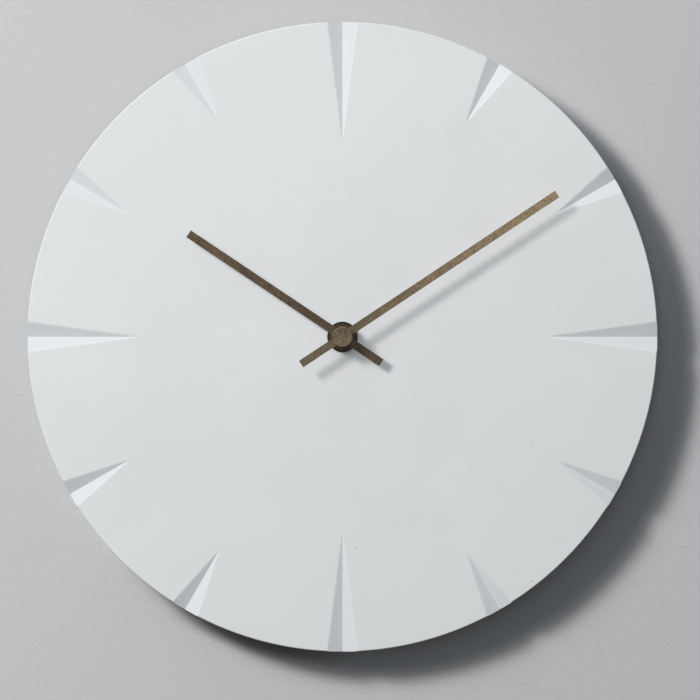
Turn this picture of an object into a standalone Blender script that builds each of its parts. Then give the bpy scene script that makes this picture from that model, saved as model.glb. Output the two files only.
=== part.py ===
"""Round concrete wall clock with a battery movement, hung on a nail by a keyhole plate let into its back.

The origin is the nail's seat on the wall. World Z is up and the dial faces -Y.
The clock itself is modelled in its own frame, carried by one empty on the hands' axis: X to the right and
Y up as the dial is read, and Z from the wall, which is zero, towards the reader.
"""

import math

import bmesh
import bpy
from mathutils import Matrix, Vector

MM = 0.001

# Dial
DIAL_DIAMETER = 300.0 * MM
DIAL_WEB = 4.4 * MM
DIAL_EDGE_ROUND = 0.5 * MM
DIAL_BACK_CHAMFER = 1.2 * MM
UPRIGHT_NOTCH_LENGTH = 58.0 * MM
LEVEL_NOTCH_LENGTH = 54.0 * MM
SHORT_NOTCH_LENGTH = 33.0 * MM
LONG_NOTCH_WIDTH = 14.6 * MM
SHORT_NOTCH_WIDTH = 14.0 * MM
NOTCH_DEPTH = 2.4 * MM
POCKET_ROOM = 1.5 * MM
HOUR_COUNT = 12
QUARTER_HOURS = HOUR_COUNT // 4

# Fits that every piece shares
SEAT_GAP = 0.3 * MM
CUT_OVERRUN = 1.0 * MM
WELD_DISTANCE = 0.001 * MM

# Hanging
HANG_DROP = 50.0 * MM
HANG_RISE = DIAL_DIAMETER / 2 - HANG_DROP
HANGER_LENGTH = 48.0 * MM
HANGER_HEIGHT = 21.0 * MM
HANGER_SHEET = 1.5 * MM
HANGER_CORNER = 3.0 * MM
HANGER_INSET = 0.2 * MM
HANGER_ROOM = 0.5 * MM
KEYHOLE_ENTRY_DIAMETER = 9.4 * MM
KEYHOLE_SLOT_WIDTH = 4.6 * MM
KEYHOLE_TRAVEL = 7.5 * MM
NAIL_RECESS_DEPTH = 9.0 * MM
NAIL_RECESS_ROOM = 1.2 * MM
HANGER_SCREW_INSET = 6.0 * MM
HANGER_SCREW_DIAMETER = 3.0 * MM
HANGER_SCREW_HEAD_DIAMETER = 5.8 * MM
HANGER_SCREW_LENGTH = 12.0 * MM
HANGER_SCREW_RECESS_DIAMETER = 2.4 * MM
HANGER_SCREW_RECESS_DEPTH = 0.7 * MM
ANCHOR_DIAMETER = 5.4 * MM
ANCHOR_LENGTH = 13.0 * MM
ANCHOR_GROOVE_DEPTH = 0.35 * MM
ANCHOR_RING_COUNT = 3

# Movement housing
CASE_RISE = 28.0 * MM
CASE_WALL = 1.2 * MM
CASE_FLOOR = 0.8 * MM
CASE_CORNER = 3.0 * MM
CHAMBER_CORNER = 1.8 * MM
CHAMBER_DROP = 10.8 * MM
COVER_INSET = 0.4 * MM
COVER_PLATE = 1.2 * MM
COVER_RIM_HEIGHT = 1.4 * MM
COVER_RIM_WALL = 1.0 * MM
GASKET_THICKNESS = 0.7 * MM
GASKET_MARGIN = 3.0 * MM
POST_DIAMETER = 3.0 * MM
POST_PIN_DIAMETER = 1.6 * MM

# Battery and its contacts
BATTERY_DIAMETER = 14.2 * MM
BATTERY_LENGTH = 50.5 * MM
BATTERY_NUB_DIAMETER = 5.3 * MM
BATTERY_NUB_LENGTH = 1.2 * MM
BATTERY_EDGE = 0.6 * MM
CONTACT_ROOM = 1.55 * MM
CONTACT_SHEET = 0.4 * MM
CONTACT_WIDTH = 5.0 * MM
CONTACT_TAB_LENGTH = 3.5 * MM
CONTACT_DIMPLE_DIAMETER = 4.0 * MM

# Electronics
BOARD_HEIGHT = 9.0 * MM
BOARD_THICKNESS = 1.0 * MM
BOARD_SIDE_ROOM = 1.6 * MM
BOARD_POST_DIAMETER = 2.6 * MM
CHIP_DIAMETER = 7.0 * MM
CHIP_HEIGHT = 1.6 * MM
CRYSTAL_DIAMETER = 2.1 * MM
CRYSTAL_LENGTH = 6.2 * MM

# Wheels
MOTION_MODULE = 0.45 * MM
THIRD_MODULE = 0.30 * MM
SECONDS_MODULE = 0.33 * MM
ROTOR_MODULE = 0.30 * MM
CANNON_TEETH = 10
MOTION_WHEEL_TEETH = 30
MOTION_PINION_TEETH = 8
HOUR_WHEEL_TEETH = 32
CENTRE_WHEEL_TEETH = 48
THIRD_PINION_TEETH = 6
THIRD_WHEEL_TEETH = 45
SECONDS_PINION_TEETH = 6
SECONDS_WHEEL_TEETH = 40
INTERMEDIATE_PINION_TEETH = 8
INTERMEDIATE_WHEEL_TEETH = 36
ROTOR_PINION_TEETH = 6
PRESSURE_ANGLE = math.radians(20.0)
ADDENDUM_SHARE = 0.8
DEDENDUM_SHARE = 1.1
BACKLASH_SHARE = 0.25
WHEEL_THICKNESS = 0.8 * MM
HOUR_WHEEL_THICKNESS = 1.1 * MM
TRAIN_PLATE_THICKNESS = 0.9 * MM
ARBOR_DIAMETER = 0.7 * MM
PIVOT_DIAMETER = 0.5 * MM
MOTION_ARBOR_DIAMETER = 1.5 * MM
SECONDS_ARBOR_DIAMETER = 0.8 * MM
CLUTCH_SLOT_WIDTH = 0.7 * MM
CLUTCH_ARM_WIDTH = 0.9 * MM
CLUTCH_ARM_COUNT = 3

# Directions of the arbors, anticlockwise from the right as the dial is read
MOTION_DIRECTION = math.radians(180.0)
THIRD_DIRECTION = math.radians(90.0)
INTERMEDIATE_DIRECTION = math.radians(-20.0)
ROTOR_DIRECTION = math.radians(50.0)

# Set knob
KNOB_DIAMETER = 10.0 * MM
KNOB_HEIGHT = 2.2 * MM
KNOB_INSET = 0.2 * MM
KNOB_RIB_COUNT = 12
KNOB_RIB_DEPTH = 0.35 * MM
KNOB_DISH_DEPTH = 0.8 * MM
KNOB_ROOM = 1.0 * MM
WELL_WALL = 0.9 * MM

# Motor
MAGNET_DIAMETER = 5.0 * MM
MAGNET_HEIGHT = 1.8 * MM
ROTOR_SHAFT_DIAMETER = 1.0 * MM
STATOR_AIR_GAP = 0.4 * MM
STATOR_RING_WALL = 1.4 * MM
STATOR_SHEET = 0.8 * MM
STATOR_LEG_WIDTH = 2.6 * MM
STATOR_LEG_INSET = 0.9 * MM
STATOR_RISE = 18.9 * MM
COIL_LENGTH = 10.2 * MM
COIL_DIAMETER = 6.8 * MM
BOBBIN_WALL = 0.5 * MM
BOBBIN_FLANGE = 0.6 * MM
BOBBIN_LIP = 0.3 * MM
COIL_LAYER_COUNT = 6

# Fixing of the movement and the hands' stack
BUSHING_DIAMETER = 8.0 * MM
BUSHING_FLANGE_DIAMETER = 11.0 * MM
BUSHING_FLANGE = 0.6 * MM
BUSHING_PROUD = 0.3 * MM
WASHER_DIAMETER = 14.4 * MM
WASHER_THICKNESS = 0.8 * MM
NUT_SIDES = 6
NUT_WIDTH = 11.0 * MM
NUT_HEIGHT = 2.5 * MM
NUT_CHAMFER = 0.5 * MM
HOUR_PIPE_DIAMETER = 5.0 * MM
HOUR_PIPE_WALL = 0.7 * MM
MINUTE_ARBOR_DIAMETER = 3.0 * MM
MINUTE_THREAD_DIAMETER = 2.2 * MM
MINUTE_FLATS_WIDTH = 2.2 * MM
HAND_SHEET = 0.6 * MM
HAND_SPACING = 3.9 * MM
HOUR_BOSS_DIAMETER = 13.4 * MM
HOUR_COLLET_DIAMETER = 7.6 * MM
HOUR_COLLET_HEAD_DIAMETER = 9.4 * MM
HOUR_COLLET_HEAD = 1.0 * MM
HOUR_PIPE_PROUD = 0.3 * MM
HOUR_HAND_WIDTH = 3.9 * MM
HOUR_HAND_REACH = 88.0 * MM
HOUR_HAND_TAIL = 22.2 * MM
MINUTE_BOSS_DIAMETER = 9.0 * MM
MINUTE_HAND_WIDTH = 3.7 * MM
MINUTE_HAND_REACH = 122.3 * MM
MINUTE_HAND_TAIL = 23.5 * MM
CAP_DIAMETER = 9.8 * MM
CAP_HEIGHT = 2.4 * MM
CAP_ROOF = 0.6 * MM
CAP_EDGE_ROUND = 0.35 * MM

# Where the hands stand, clockwise from twelve
HOUR_HAND_READING = math.radians(303.8)
MINUTE_HAND_READING = math.radians(56.4)

# How finely round shapes are drawn
DIAL_STEPS = 144
LARGE_STEPS = 32
MEDIUM_STEPS = 20
SMALL_STEPS = 12
PIVOT_STEPS = 8
CORNER_STEPS = 3
PINION_FLANK_STEPS = 2
WHEEL_FLANK_STEPS = 1
SMOOTH_ANGLE = math.radians(35.0)


def stacked(start, gap, thicknesses):
    """The low and high face of each layer of a stack, with a gap in front of every layer."""
    layers = {}
    low = start
    for name, thickness in thicknesses:
        layers[name] = (low, low + thickness)
        low += thickness + gap
    return layers


def polar(radius, angle, centre=(0.0, 0.0)):
    """A point at a radius and an angle round a centre."""
    return (centre[0] + radius * math.cos(angle), centre[1] + radius * math.sin(angle))


# Depths behind the dial: the set knob's well lies behind the train, and the case is as deep as the deeper
# of the train and the battery needs
COVER_FRONT = COVER_INSET + COVER_PLATE
KNOB_BACK = COVER_INSET + KNOB_INSET
KNOB_FRONT = KNOB_BACK + KNOB_HEIGHT
WELL_BACK = KNOB_FRONT + SEAT_GAP
WELL_FRONT = WELL_BACK + WELL_WALL
LAYER_THICKNESSES = (
    ("bridge", TRAIN_PLATE_THICKNESS),
    ("intermediate", WHEEL_THICKNESS),
    ("seconds", WHEEL_THICKNESS),
    ("third", WHEEL_THICKNESS),
    ("centre", WHEEL_THICKNESS),
    ("train_plate", TRAIN_PLATE_THICKNESS),
    ("motion", WHEEL_THICKNESS),
    ("hour", HOUR_WHEEL_THICKNESS),
    ("flange", BUSHING_FLANGE),
)
TRAIN_DEPTH = sum(thickness + SEAT_GAP for name, thickness in LAYER_THICKNESSES)
CASE_FLOOR_BACK = max(
    WELL_FRONT + SEAT_GAP + TRAIN_DEPTH,
    COVER_INSET + 2 * SEAT_GAP + BATTERY_DIAMETER + SEAT_GAP,
)
CASE_FRONT = CASE_FLOOR_BACK + CASE_FLOOR
GASKET_BACK = CASE_FRONT + SEAT_GAP
GASKET_FRONT = GASKET_BACK + GASKET_THICKNESS
POCKET_FLOOR = GASKET_FRONT + SEAT_GAP
DIAL_FRONT = POCKET_FLOOR + DIAL_WEB
LAYERS = stacked(CASE_FLOOR_BACK - TRAIN_DEPTH, SEAT_GAP, LAYER_THICKNESSES)
CASE_BACK = COVER_FRONT + SEAT_GAP

# Depths in front of the dial
WASHER_BACK = DIAL_FRONT + SEAT_GAP
WASHER_FRONT = WASHER_BACK + WASHER_THICKNESS
NUT_BACK = WASHER_FRONT + SEAT_GAP
NUT_FRONT = NUT_BACK + NUT_HEIGHT
BUSHING_FRONT = NUT_FRONT + BUSHING_PROUD
HOUR_HAND_BACK = BUSHING_FRONT + SEAT_GAP
HOUR_HAND_FRONT = HOUR_HAND_BACK + HAND_SHEET
HOUR_COLLET_FRONT = HOUR_HAND_FRONT + SEAT_GAP + HOUR_COLLET_HEAD
HOUR_PIPE_FRONT = HOUR_COLLET_FRONT + HOUR_PIPE_PROUD
MINUTE_HAND_BACK = HOUR_HAND_FRONT + HAND_SPACING
MINUTE_HAND_FRONT = MINUTE_HAND_BACK + HAND_SHEET
CAP_BACK = MINUTE_HAND_FRONT + SEAT_GAP
CAP_FRONT = CAP_BACK + CAP_HEIGHT

# Widths and heights of the case, which holds the battery across its foot
CASE_WIDTH = BATTERY_LENGTH + 2 * (CONTACT_ROOM + CASE_WALL)
BAY_HEIGHT = BATTERY_DIAMETER + 2 * SEAT_GAP
PARTITION_FOOT = -CHAMBER_DROP - CASE_WALL
CASE_FOOT = PARTITION_FOOT - BAY_HEIGHT - CASE_WALL
CASE_HEIGHT = CASE_RISE - CASE_FOOT
CASE_MIDDLE = (0.0, (CASE_RISE + CASE_FOOT) / 2)
INNER_SIDE = CASE_WIDTH / 2 - CASE_WALL
INNER_TOP = CASE_RISE - CASE_WALL
BATTERY_MIDDLE = PARTITION_FOOT - BAY_HEIGHT / 2
BATTERY_BACK = CASE_FLOOR_BACK - SEAT_GAP - BATTERY_DIAMETER
BATTERY_DEPTH = BATTERY_BACK + BATTERY_DIAMETER / 2

# Places of the arbors, from the wheels that mesh
MOTION_DISTANCE = MOTION_MODULE * (CANNON_TEETH + MOTION_WHEEL_TEETH) / 2
THIRD_DISTANCE = THIRD_MODULE * (SECONDS_PINION_TEETH + THIRD_WHEEL_TEETH) / 2
CENTRE_MODULE = 2 * THIRD_DISTANCE / (CENTRE_WHEEL_TEETH + THIRD_PINION_TEETH)
HOUR_MODULE = 2 * MOTION_DISTANCE / (HOUR_WHEEL_TEETH + MOTION_PINION_TEETH)
INTERMEDIATE_DISTANCE = SECONDS_MODULE * (SECONDS_WHEEL_TEETH + INTERMEDIATE_PINION_TEETH) / 2
ROTOR_DISTANCE = ROTOR_MODULE * (INTERMEDIATE_WHEEL_TEETH + ROTOR_PINION_TEETH) / 2
CENTRE = (0.0, 0.0)
MOTION_PLACE = polar(MOTION_DISTANCE, MOTION_DIRECTION)
THIRD_PLACE = polar(THIRD_DISTANCE, THIRD_DIRECTION)
INTERMEDIATE_PLACE = polar(INTERMEDIATE_DISTANCE, INTERMEDIATE_DIRECTION)
ROTOR_PLACE = polar(ROTOR_DISTANCE, ROTOR_DIRECTION, INTERMEDIATE_PLACE)

# Posts of the train, as shares of the chamber's half width and of its drop below the hands' axis
POST_PLACE_SHARES = ((-0.56, -0.76), (0.64, -0.62), (-0.49, 1.16))
POSTS = tuple((across * INNER_SIDE, up * CHAMBER_DROP) for across, up in POST_PLACE_SHARES)

# Motor places
STATOR_RING_RADIUS = MAGNET_DIAMETER / 2 + STATOR_AIR_GAP + STATOR_RING_WALL
STATOR_LEFT = ROTOR_PLACE[0] - STATOR_RING_RADIUS + STATOR_LEG_INSET
COIL_LEFT = STATOR_LEFT + STATOR_LEG_WIDTH + SEAT_GAP
COIL_RIGHT = COIL_LEFT + COIL_LENGTH
STATOR_RIGHT = COIL_RIGHT + SEAT_GAP + STATOR_LEG_WIDTH
STATOR_TOP = ROTOR_PLACE[1] + STATOR_RISE
CORE_MIDDLE = STATOR_TOP - STATOR_LEG_WIDTH / 2
MAGNET_BACK = LAYERS["intermediate"][1] + SEAT_GAP
MAGNET_FRONT = MAGNET_BACK + MAGNET_HEIGHT
STATOR_BACK = (MAGNET_BACK + MAGNET_FRONT - STATOR_SHEET) / 2
STATOR_FRONT = STATOR_BACK + STATOR_SHEET
CORE_BACK = STATOR_FRONT + SEAT_GAP
CORE_FRONT = CORE_BACK + STATOR_SHEET
COIL_DEPTH = (CORE_BACK + CORE_FRONT) / 2

# Circuit board, behind the coil
BOARD_FRONT = COIL_DEPTH - COIL_DIAMETER / 2 - BOBBIN_LIP - 4 * SEAT_GAP
BOARD_BACK = BOARD_FRONT - BOARD_THICKNESS
BOARD_MIDDLE = CORE_MIDDLE
BOARD_SIDE = INNER_SIDE - BOARD_SIDE_ROOM
BOARD_POST_SHARES = (-0.84, 0.18)
CHIP_PLACE_SHARE = -0.2
CRYSTAL_PLACE_SHARE = -0.55


def clear_scene():
    """Removes whatever the file opened with."""
    for item in list(bpy.data.objects):
        bpy.data.objects.remove(item, do_unlink=True)


def principled(name, colour, roughness, metallic=0.0):
    """A plain Principled material."""
    material = bpy.data.materials.new(name)
    material.use_nodes = True
    shader = material.node_tree.nodes["Principled BSDF"]
    shader.inputs["Base Color"].default_value = (*colour, 1.0)
    shader.inputs["Roughness"].default_value = roughness
    shader.inputs["Metallic"].default_value = metallic
    return material


def make_materials():
    """The clock's finishes, by the name of the material."""
    return {
        "concrete": principled("pale concrete", (0.70, 0.71, 0.73), 0.85),
        "bronze": principled("bronze paint", (0.14, 0.11, 0.075), 0.45, 0.6),
        "black": principled("black metal", (0.02, 0.02, 0.02), 0.5, 0.3),
        "brass": principled("brass", (0.62, 0.45, 0.16), 0.35, 1.0),
        "steel": principled("zinc-plated steel", (0.60, 0.61, 0.62), 0.35, 1.0),
        "core": principled("motor iron", (0.42, 0.42, 0.43), 0.4, 1.0),
        "case": principled("black moulded plastic", (0.03, 0.03, 0.032), 0.45),
        "wheel": principled("white moulded plastic", (0.80, 0.80, 0.77), 0.4),
        "anchor": principled("grey plastic", (0.35, 0.35, 0.36), 0.55),
        "rubber": principled("black rubber", (0.03, 0.03, 0.03), 0.8),
        "copper": principled("copper wire", (0.70, 0.30, 0.15), 0.35, 1.0),
        "board": principled("circuit board", (0.22, 0.17, 0.06), 0.5),
        "chip": principled("black resin", (0.02, 0.02, 0.02), 0.35),
        "jacket": principled("battery jacket", (0.25, 0.27, 0.30), 0.35),
    }


def add_empty(name, parent, place):
    """An empty that carries pieces; for a moving piece it stands on the joint's axis."""
    empty = bpy.data.objects.new(name, None)
    bpy.context.scene.collection.objects.link(empty)
    empty.parent = parent
    empty.location = place
    return empty


def add_piece(name, bm, material, parent):
    """Turns a bmesh into a named piece, smooth apart from its edges."""
    bmesh.ops.recalc_face_normals(bm, faces=bm.faces)
    mesh = bpy.data.meshes.new(name)
    bm.to_mesh(mesh)
    bm.free()
    mesh.materials.append(material)
    mesh.shade_smooth()
    mesh.set_sharp_from_angle(angle=SMOOTH_ANGLE)
    piece = bpy.data.objects.new(name, mesh)
    bpy.context.scene.collection.objects.link(piece)
    piece.parent = parent
    return piece


def add_tool(name, bm, parent):
    """A hidden shape that is cut from a piece or joined to it."""
    bmesh.ops.recalc_face_normals(bm, faces=bm.faces)
    mesh = bpy.data.meshes.new(name)
    bm.to_mesh(mesh)
    bm.free()
    tool = bpy.data.objects.new(name, mesh)
    bpy.context.scene.collection.objects.link(tool)
    tool.parent = parent
    tool.hide_render = True
    tool.display_type = "WIRE"
    return tool


def combine(piece, tool, operation):
    """Adds a Boolean modifier with the exact solver."""
    modifier = piece.modifiers.new(tool.name, "BOOLEAN")
    modifier.operation = operation
    modifier.solver = "EXACT"
    modifier.object = tool
    return piece


def cut(piece, name, bm):
    """Cuts a shape out of a piece."""
    return combine(piece, add_tool(name, bm, piece.parent), "DIFFERENCE")


def join(piece, name, bm):
    """Joins a shape to a piece."""
    return combine(piece, add_tool(name, bm, piece.parent), "UNION")


def arc(centre, radius, start, end, steps):
    """Points along an arc, both ends included."""
    return [polar(radius, start + (end - start) * step / steps, centre) for step in range(steps + 1)]


def circle(radius, steps, centre=CENTRE):
    """Points round a circle."""
    return arc(centre, radius, 0.0, math.tau, steps)[:-1]


def rounded_rectangle(width, height, radius, centre=CENTRE):
    """A rectangle with round corners, anticlockwise from its right side."""
    across = width / 2 - radius
    up = height / 2 - radius
    points = []
    for quarter, (side, rise) in enumerate(((1, 1), (-1, 1), (-1, -1), (1, -1))):
        corner = (centre[0] + side * across, centre[1] + rise * up)
        start = quarter * math.pi / 2
        points += arc(corner, radius, start, start + math.pi / 2, CORNER_STEPS)
    return points


def box_outline(left, right, foot, top):
    """The four corners of an upright rectangle."""
    return [(left, foot), (right, foot), (right, top), (left, top)]


def add_prism(bm, outline, low, high):
    """Adds an outline, raised from one depth to another, to a bmesh."""
    corners = [bm.verts.new((x, y, low)) for x, y in outline]
    face = bm.faces.new(corners)
    raised = bmesh.ops.extrude_face_region(bm, geom=[face])["geom"]
    tops = [item for item in raised if isinstance(item, bmesh.types.BMVert)]
    bmesh.ops.translate(bm, verts=tops, vec=(0.0, 0.0, high - low))
    return bm


def prism(outline, low, high):
    """An outline raised from one depth to another."""
    return add_prism(bmesh.new(), outline, low, high)


def cylinders(places, radius, low, high, steps):
    """Equal upright cylinders at several places, as one set of shapes."""
    bm = bmesh.new()
    for place in places:
        add_prism(bm, circle(radius, steps, place), low, high)
    return bm


def is_flat_pole(vert):
    """Whether a point lies on the axis in the middle of a flat end."""
    if vert.co.xy.length > WELD_DISTANCE:
        return False
    return all(abs(edge.other_vert(vert).co.z - vert.co.z) < WELD_DISTANCE for edge in vert.link_edges)


def turned(profile, steps, closed=False):
    """Turns a profile of radius and depth round the Z axis; a closed one gives a ring."""
    bm = bmesh.new()
    corners = [bm.verts.new((radius, 0.0, depth)) for radius, depth in profile]
    edges = [bm.edges.new(pair) for pair in zip(corners, corners[1:])]
    if closed:
        edges.append(bm.edges.new((corners[-1], corners[0])))
    bmesh.ops.spin(
        bm,
        geom=corners + edges,
        axis=(0.0, 0.0, 1.0),
        cent=(0.0, 0.0, 0.0),
        angle=math.tau,
        steps=steps,
        use_merge=True,
    )
    bmesh.ops.remove_doubles(bm, verts=bm.verts, dist=WELD_DISTANCE)
    bmesh.ops.dissolve_degenerate(bm, edges=bm.edges, dist=WELD_DISTANCE)
    bmesh.ops.dissolve_verts(bm, verts=[vert for vert in bm.verts if is_flat_pole(vert)])
    return bm


def ring(inner, outer, low, high, steps):
    """A plain ring."""
    return turned([(inner, low), (outer, low), (outer, high), (inner, high)], steps, closed=True)


def moved(bm, place, turn=None):
    """Moves a shape in the plane of the dial, after an optional turn about its own origin."""
    if turn is not None:
        bmesh.ops.transform(bm, matrix=turn, verts=bm.verts)
    bmesh.ops.translate(bm, verts=bm.verts, vec=(place[0], place[1], 0.0))
    return bm


def involute(angle):
    """The involute function of a pressure angle."""
    return math.tan(angle) - angle


def gear_outline(teeth, module, direction, flank_steps):
    """A gear with involute flanks and a tooth centred on a direction."""
    pitch_radius = module * teeth / 2
    tip = pitch_radius + ADDENDUM_SHARE * module
    root = pitch_radius - DEDENDUM_SHARE * module
    base = pitch_radius * math.cos(PRESSURE_ANGLE)
    half_at_pitch = math.pi / (2 * teeth) * (1 - BACKLASH_SHARE)
    flank = []
    for step in range(flank_steps + 1):
        radius = root + (tip - root) * step / flank_steps
        roll = math.acos(min(1.0, base / radius))
        flank.append((radius, half_at_pitch + involute(PRESSURE_ANGLE) - involute(roll)))
    points = []
    for tooth in range(teeth):
        middle = direction + math.tau * tooth / teeth
        points += [polar(radius, middle - half) for radius, half in flank]
        points += [polar(radius, middle + half) for radius, half in reversed(flank)]
    return points


def meshing_directions(place, other_place, other_teeth):
    """The way from one gear to another, and the tooth direction that puts the other's gap there."""
    towards = math.atan2(other_place[1] - place[1], other_place[0] - place[0])
    return towards, towards + math.pi + math.pi / other_teeth


def notch_sizes(hour):
    """Length and width at the rim of the notch so many hours round from the right of the dial."""
    if hour % QUARTER_HOURS:
        return SHORT_NOTCH_LENGTH, SHORT_NOTCH_WIDTH
    upright = hour // QUARTER_HOURS % 2 == 1
    return UPRIGHT_NOTCH_LENGTH if upright else LEVEL_NOTCH_LENGTH, LONG_NOTCH_WIDTH


def notch_corners(length, width):
    """A wedge from a point above the face to the full width and depth past the rim."""
    apex_radius = DIAL_DIAMETER / 2 - length
    rise = CUT_OVERRUN / NOTCH_DEPTH
    past = (length + CUT_OVERRUN) / length
    above = DIAL_FRONT + CUT_OVERRUN
    outer_radius = apex_radius + past * length
    half = width / 2 * (rise + past)
    return (
        (apex_radius - rise * length, 0.0, above),
        (outer_radius, half, above),
        (outer_radius, 0.0, DIAL_FRONT - past * NOTCH_DEPTH),
        (outer_radius, -half, above),
    )


def notch_cutters():
    """One wedge for each hour, turned to its place on the dial."""
    bm = bmesh.new()
    for hour in range(HOUR_COUNT):
        turn = Matrix.Rotation(math.tau * hour / HOUR_COUNT, 4, "Z")
        corners = [bm.verts.new(turn @ Vector(point)) for point in notch_corners(*notch_sizes(hour))]
        for skipped in range(len(corners)):
            bm.faces.new([corner for index, corner in enumerate(corners) if index != skipped])
    return bm


def keyhole_outline(room):
    """The keyhole as seen from the front, with the nail's seat at the hanging height."""
    entry = KEYHOLE_ENTRY_DIAMETER / 2 + room
    slot = KEYHOLE_SLOT_WIDTH / 2 + room
    shoulder = math.asin(slot / entry)
    seat = (0.0, HANG_RISE)
    start = (0.0, HANG_RISE - KEYHOLE_TRAVEL)
    points = arc(seat, slot, 0.0, math.pi, SMALL_STEPS // 2)
    points += arc(start, entry, math.pi / 2 + shoulder, math.pi * 5 / 2 - shoulder, MEDIUM_STEPS)
    return points


def hanger_middle():
    """The middle of the hanger plate, level with the middle of its keyhole."""
    low = HANG_RISE - KEYHOLE_TRAVEL - KEYHOLE_ENTRY_DIAMETER / 2
    high = HANG_RISE + KEYHOLE_SLOT_WIDTH / 2
    return (0.0, (low + high) / 2)


def hanger_screw_places():
    """Where the two screws of the hanger plate stand."""
    middle = hanger_middle()
    reach = HANGER_LENGTH / 2 - HANGER_SCREW_INSET
    return [(side * reach, middle[1]) for side in (-1, 1)]


def anchor_back():
    """The depth of the anchors' rear ends, just in front of the hanger plate."""
    return HANGER_INSET + HANGER_SHEET + SEAT_GAP


def build_dial(materials, clock):
    """Cast disc with a pocket for the movement, a seat for the hanger and its twelve notches.

    It is turned by half a step, so that the valley of each notch meets the rim between two of its edges.
    """
    radius = DIAL_DIAMETER / 2
    bore = BUSHING_DIAMETER / 2 + SEAT_GAP
    rounding_centre = (radius - DIAL_EDGE_ROUND, DIAL_FRONT - DIAL_EDGE_ROUND)
    profile = [(0.0, 0.0), (radius - DIAL_BACK_CHAMFER, 0.0), (radius, DIAL_BACK_CHAMFER)]
    profile += arc(rounding_centre, DIAL_EDGE_ROUND, 0.0, math.pi / 2, CORNER_STEPS - 1)
    profile.append((0.0, DIAL_FRONT))
    half_step = Matrix.Rotation(math.pi / DIAL_STEPS, 4, "Z")
    disc = moved(turned(profile, DIAL_STEPS), CENTRE, half_step)
    dial = add_piece("concrete_dial", disc, materials["concrete"], clock)
    cut(dial, "notch_cutters", notch_cutters())
    bushing_hole = cylinders([CENTRE], bore, -CUT_OVERRUN, DIAL_FRONT + CUT_OVERRUN, LARGE_STEPS)
    cut(dial, "bushing_hole_cutter", bushing_hole)
    pocket = rounded_rectangle(
        CASE_WIDTH + 2 * POCKET_ROOM, CASE_HEIGHT + 2 * POCKET_ROOM, CASE_CORNER + POCKET_ROOM, CASE_MIDDLE
    )
    cut(dial, "movement_pocket_cutter", prism(pocket, -CUT_OVERRUN, POCKET_FLOOR))
    seat = rounded_rectangle(
        HANGER_LENGTH + 2 * HANGER_ROOM,
        HANGER_HEIGHT + 2 * HANGER_ROOM,
        HANGER_CORNER + HANGER_ROOM,
        hanger_middle(),
    )
    cut(dial, "hanger_seat_cutter", prism(seat, -CUT_OVERRUN, anchor_back()))
    nail_recess = keyhole_outline(NAIL_RECESS_ROOM)
    cut(dial, "nail_recess_cutter", prism(nail_recess, 0.0, anchor_back() + NAIL_RECESS_DEPTH))
    holes = cylinders(
        hanger_screw_places(),
        ANCHOR_DIAMETER / 2 + SEAT_GAP,
        0.0,
        anchor_back() + ANCHOR_LENGTH + SEAT_GAP,
        SMALL_STEPS,
    )
    cut(dial, "anchor_hole_cutters", holes)


def countersink_profile(head_radius, shank_radius, back, front):
    """A countersunk hole or head, from its wide end at the back to its shank."""
    shoulder = back + head_radius - shank_radius
    return [(0.0, back), (head_radius, back), (shank_radius, shoulder), (shank_radius, front)]


def build_hanger(materials, clock):
    """Steel keyhole plate with two countersunk holes, flush in the back of the dial."""
    outline = rounded_rectangle(HANGER_LENGTH, HANGER_HEIGHT, HANGER_CORNER, hanger_middle())
    plate_front = HANGER_INSET + HANGER_SHEET
    plate = add_piece("hanger_plate", prism(outline, HANGER_INSET, plate_front), materials["steel"], clock)
    cut(plate, "keyhole_cutter", prism(keyhole_outline(0.0), -CUT_OVERRUN, plate_front + CUT_OVERRUN))
    shank = HANGER_SCREW_DIAMETER / 2 + SEAT_GAP
    head = HANGER_SCREW_HEAD_DIAMETER / 2 + SEAT_GAP
    sink = [(0.0, HANGER_INSET - CUT_OVERRUN), (head, HANGER_INSET - CUT_OVERRUN)]
    sink += countersink_profile(head, shank, HANGER_INSET, plate_front + CUT_OVERRUN)[1:]
    sink.append((0.0, plate_front + CUT_OVERRUN))
    for side, place in zip(("left", "right"), hanger_screw_places()):
        cut(plate, f"countersink_cutter_{side}", moved(turned(sink, SMALL_STEPS), place))


def build_hanger_screws(materials, clock):
    """Two countersunk screws with a round recess in the head."""
    shank = HANGER_SCREW_DIAMETER / 2
    head = HANGER_SCREW_HEAD_DIAMETER / 2
    recess = HANGER_SCREW_RECESS_DIAMETER / 2
    floor = HANGER_INSET + HANGER_SCREW_RECESS_DEPTH
    tip = HANGER_INSET + HANGER_SCREW_LENGTH
    profile = [(0.0, floor), (recess, floor), (recess, HANGER_INSET), (head, HANGER_INSET)]
    profile += [(shank, HANGER_INSET + head - shank), (shank, tip - shank), (0.0, tip)]
    for side, place in zip(("left", "right"), hanger_screw_places()):
        bm = moved(turned(profile, SMALL_STEPS), place)
        add_piece(f"hanger_screw_{side}", bm, materials["steel"], clock)


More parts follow.
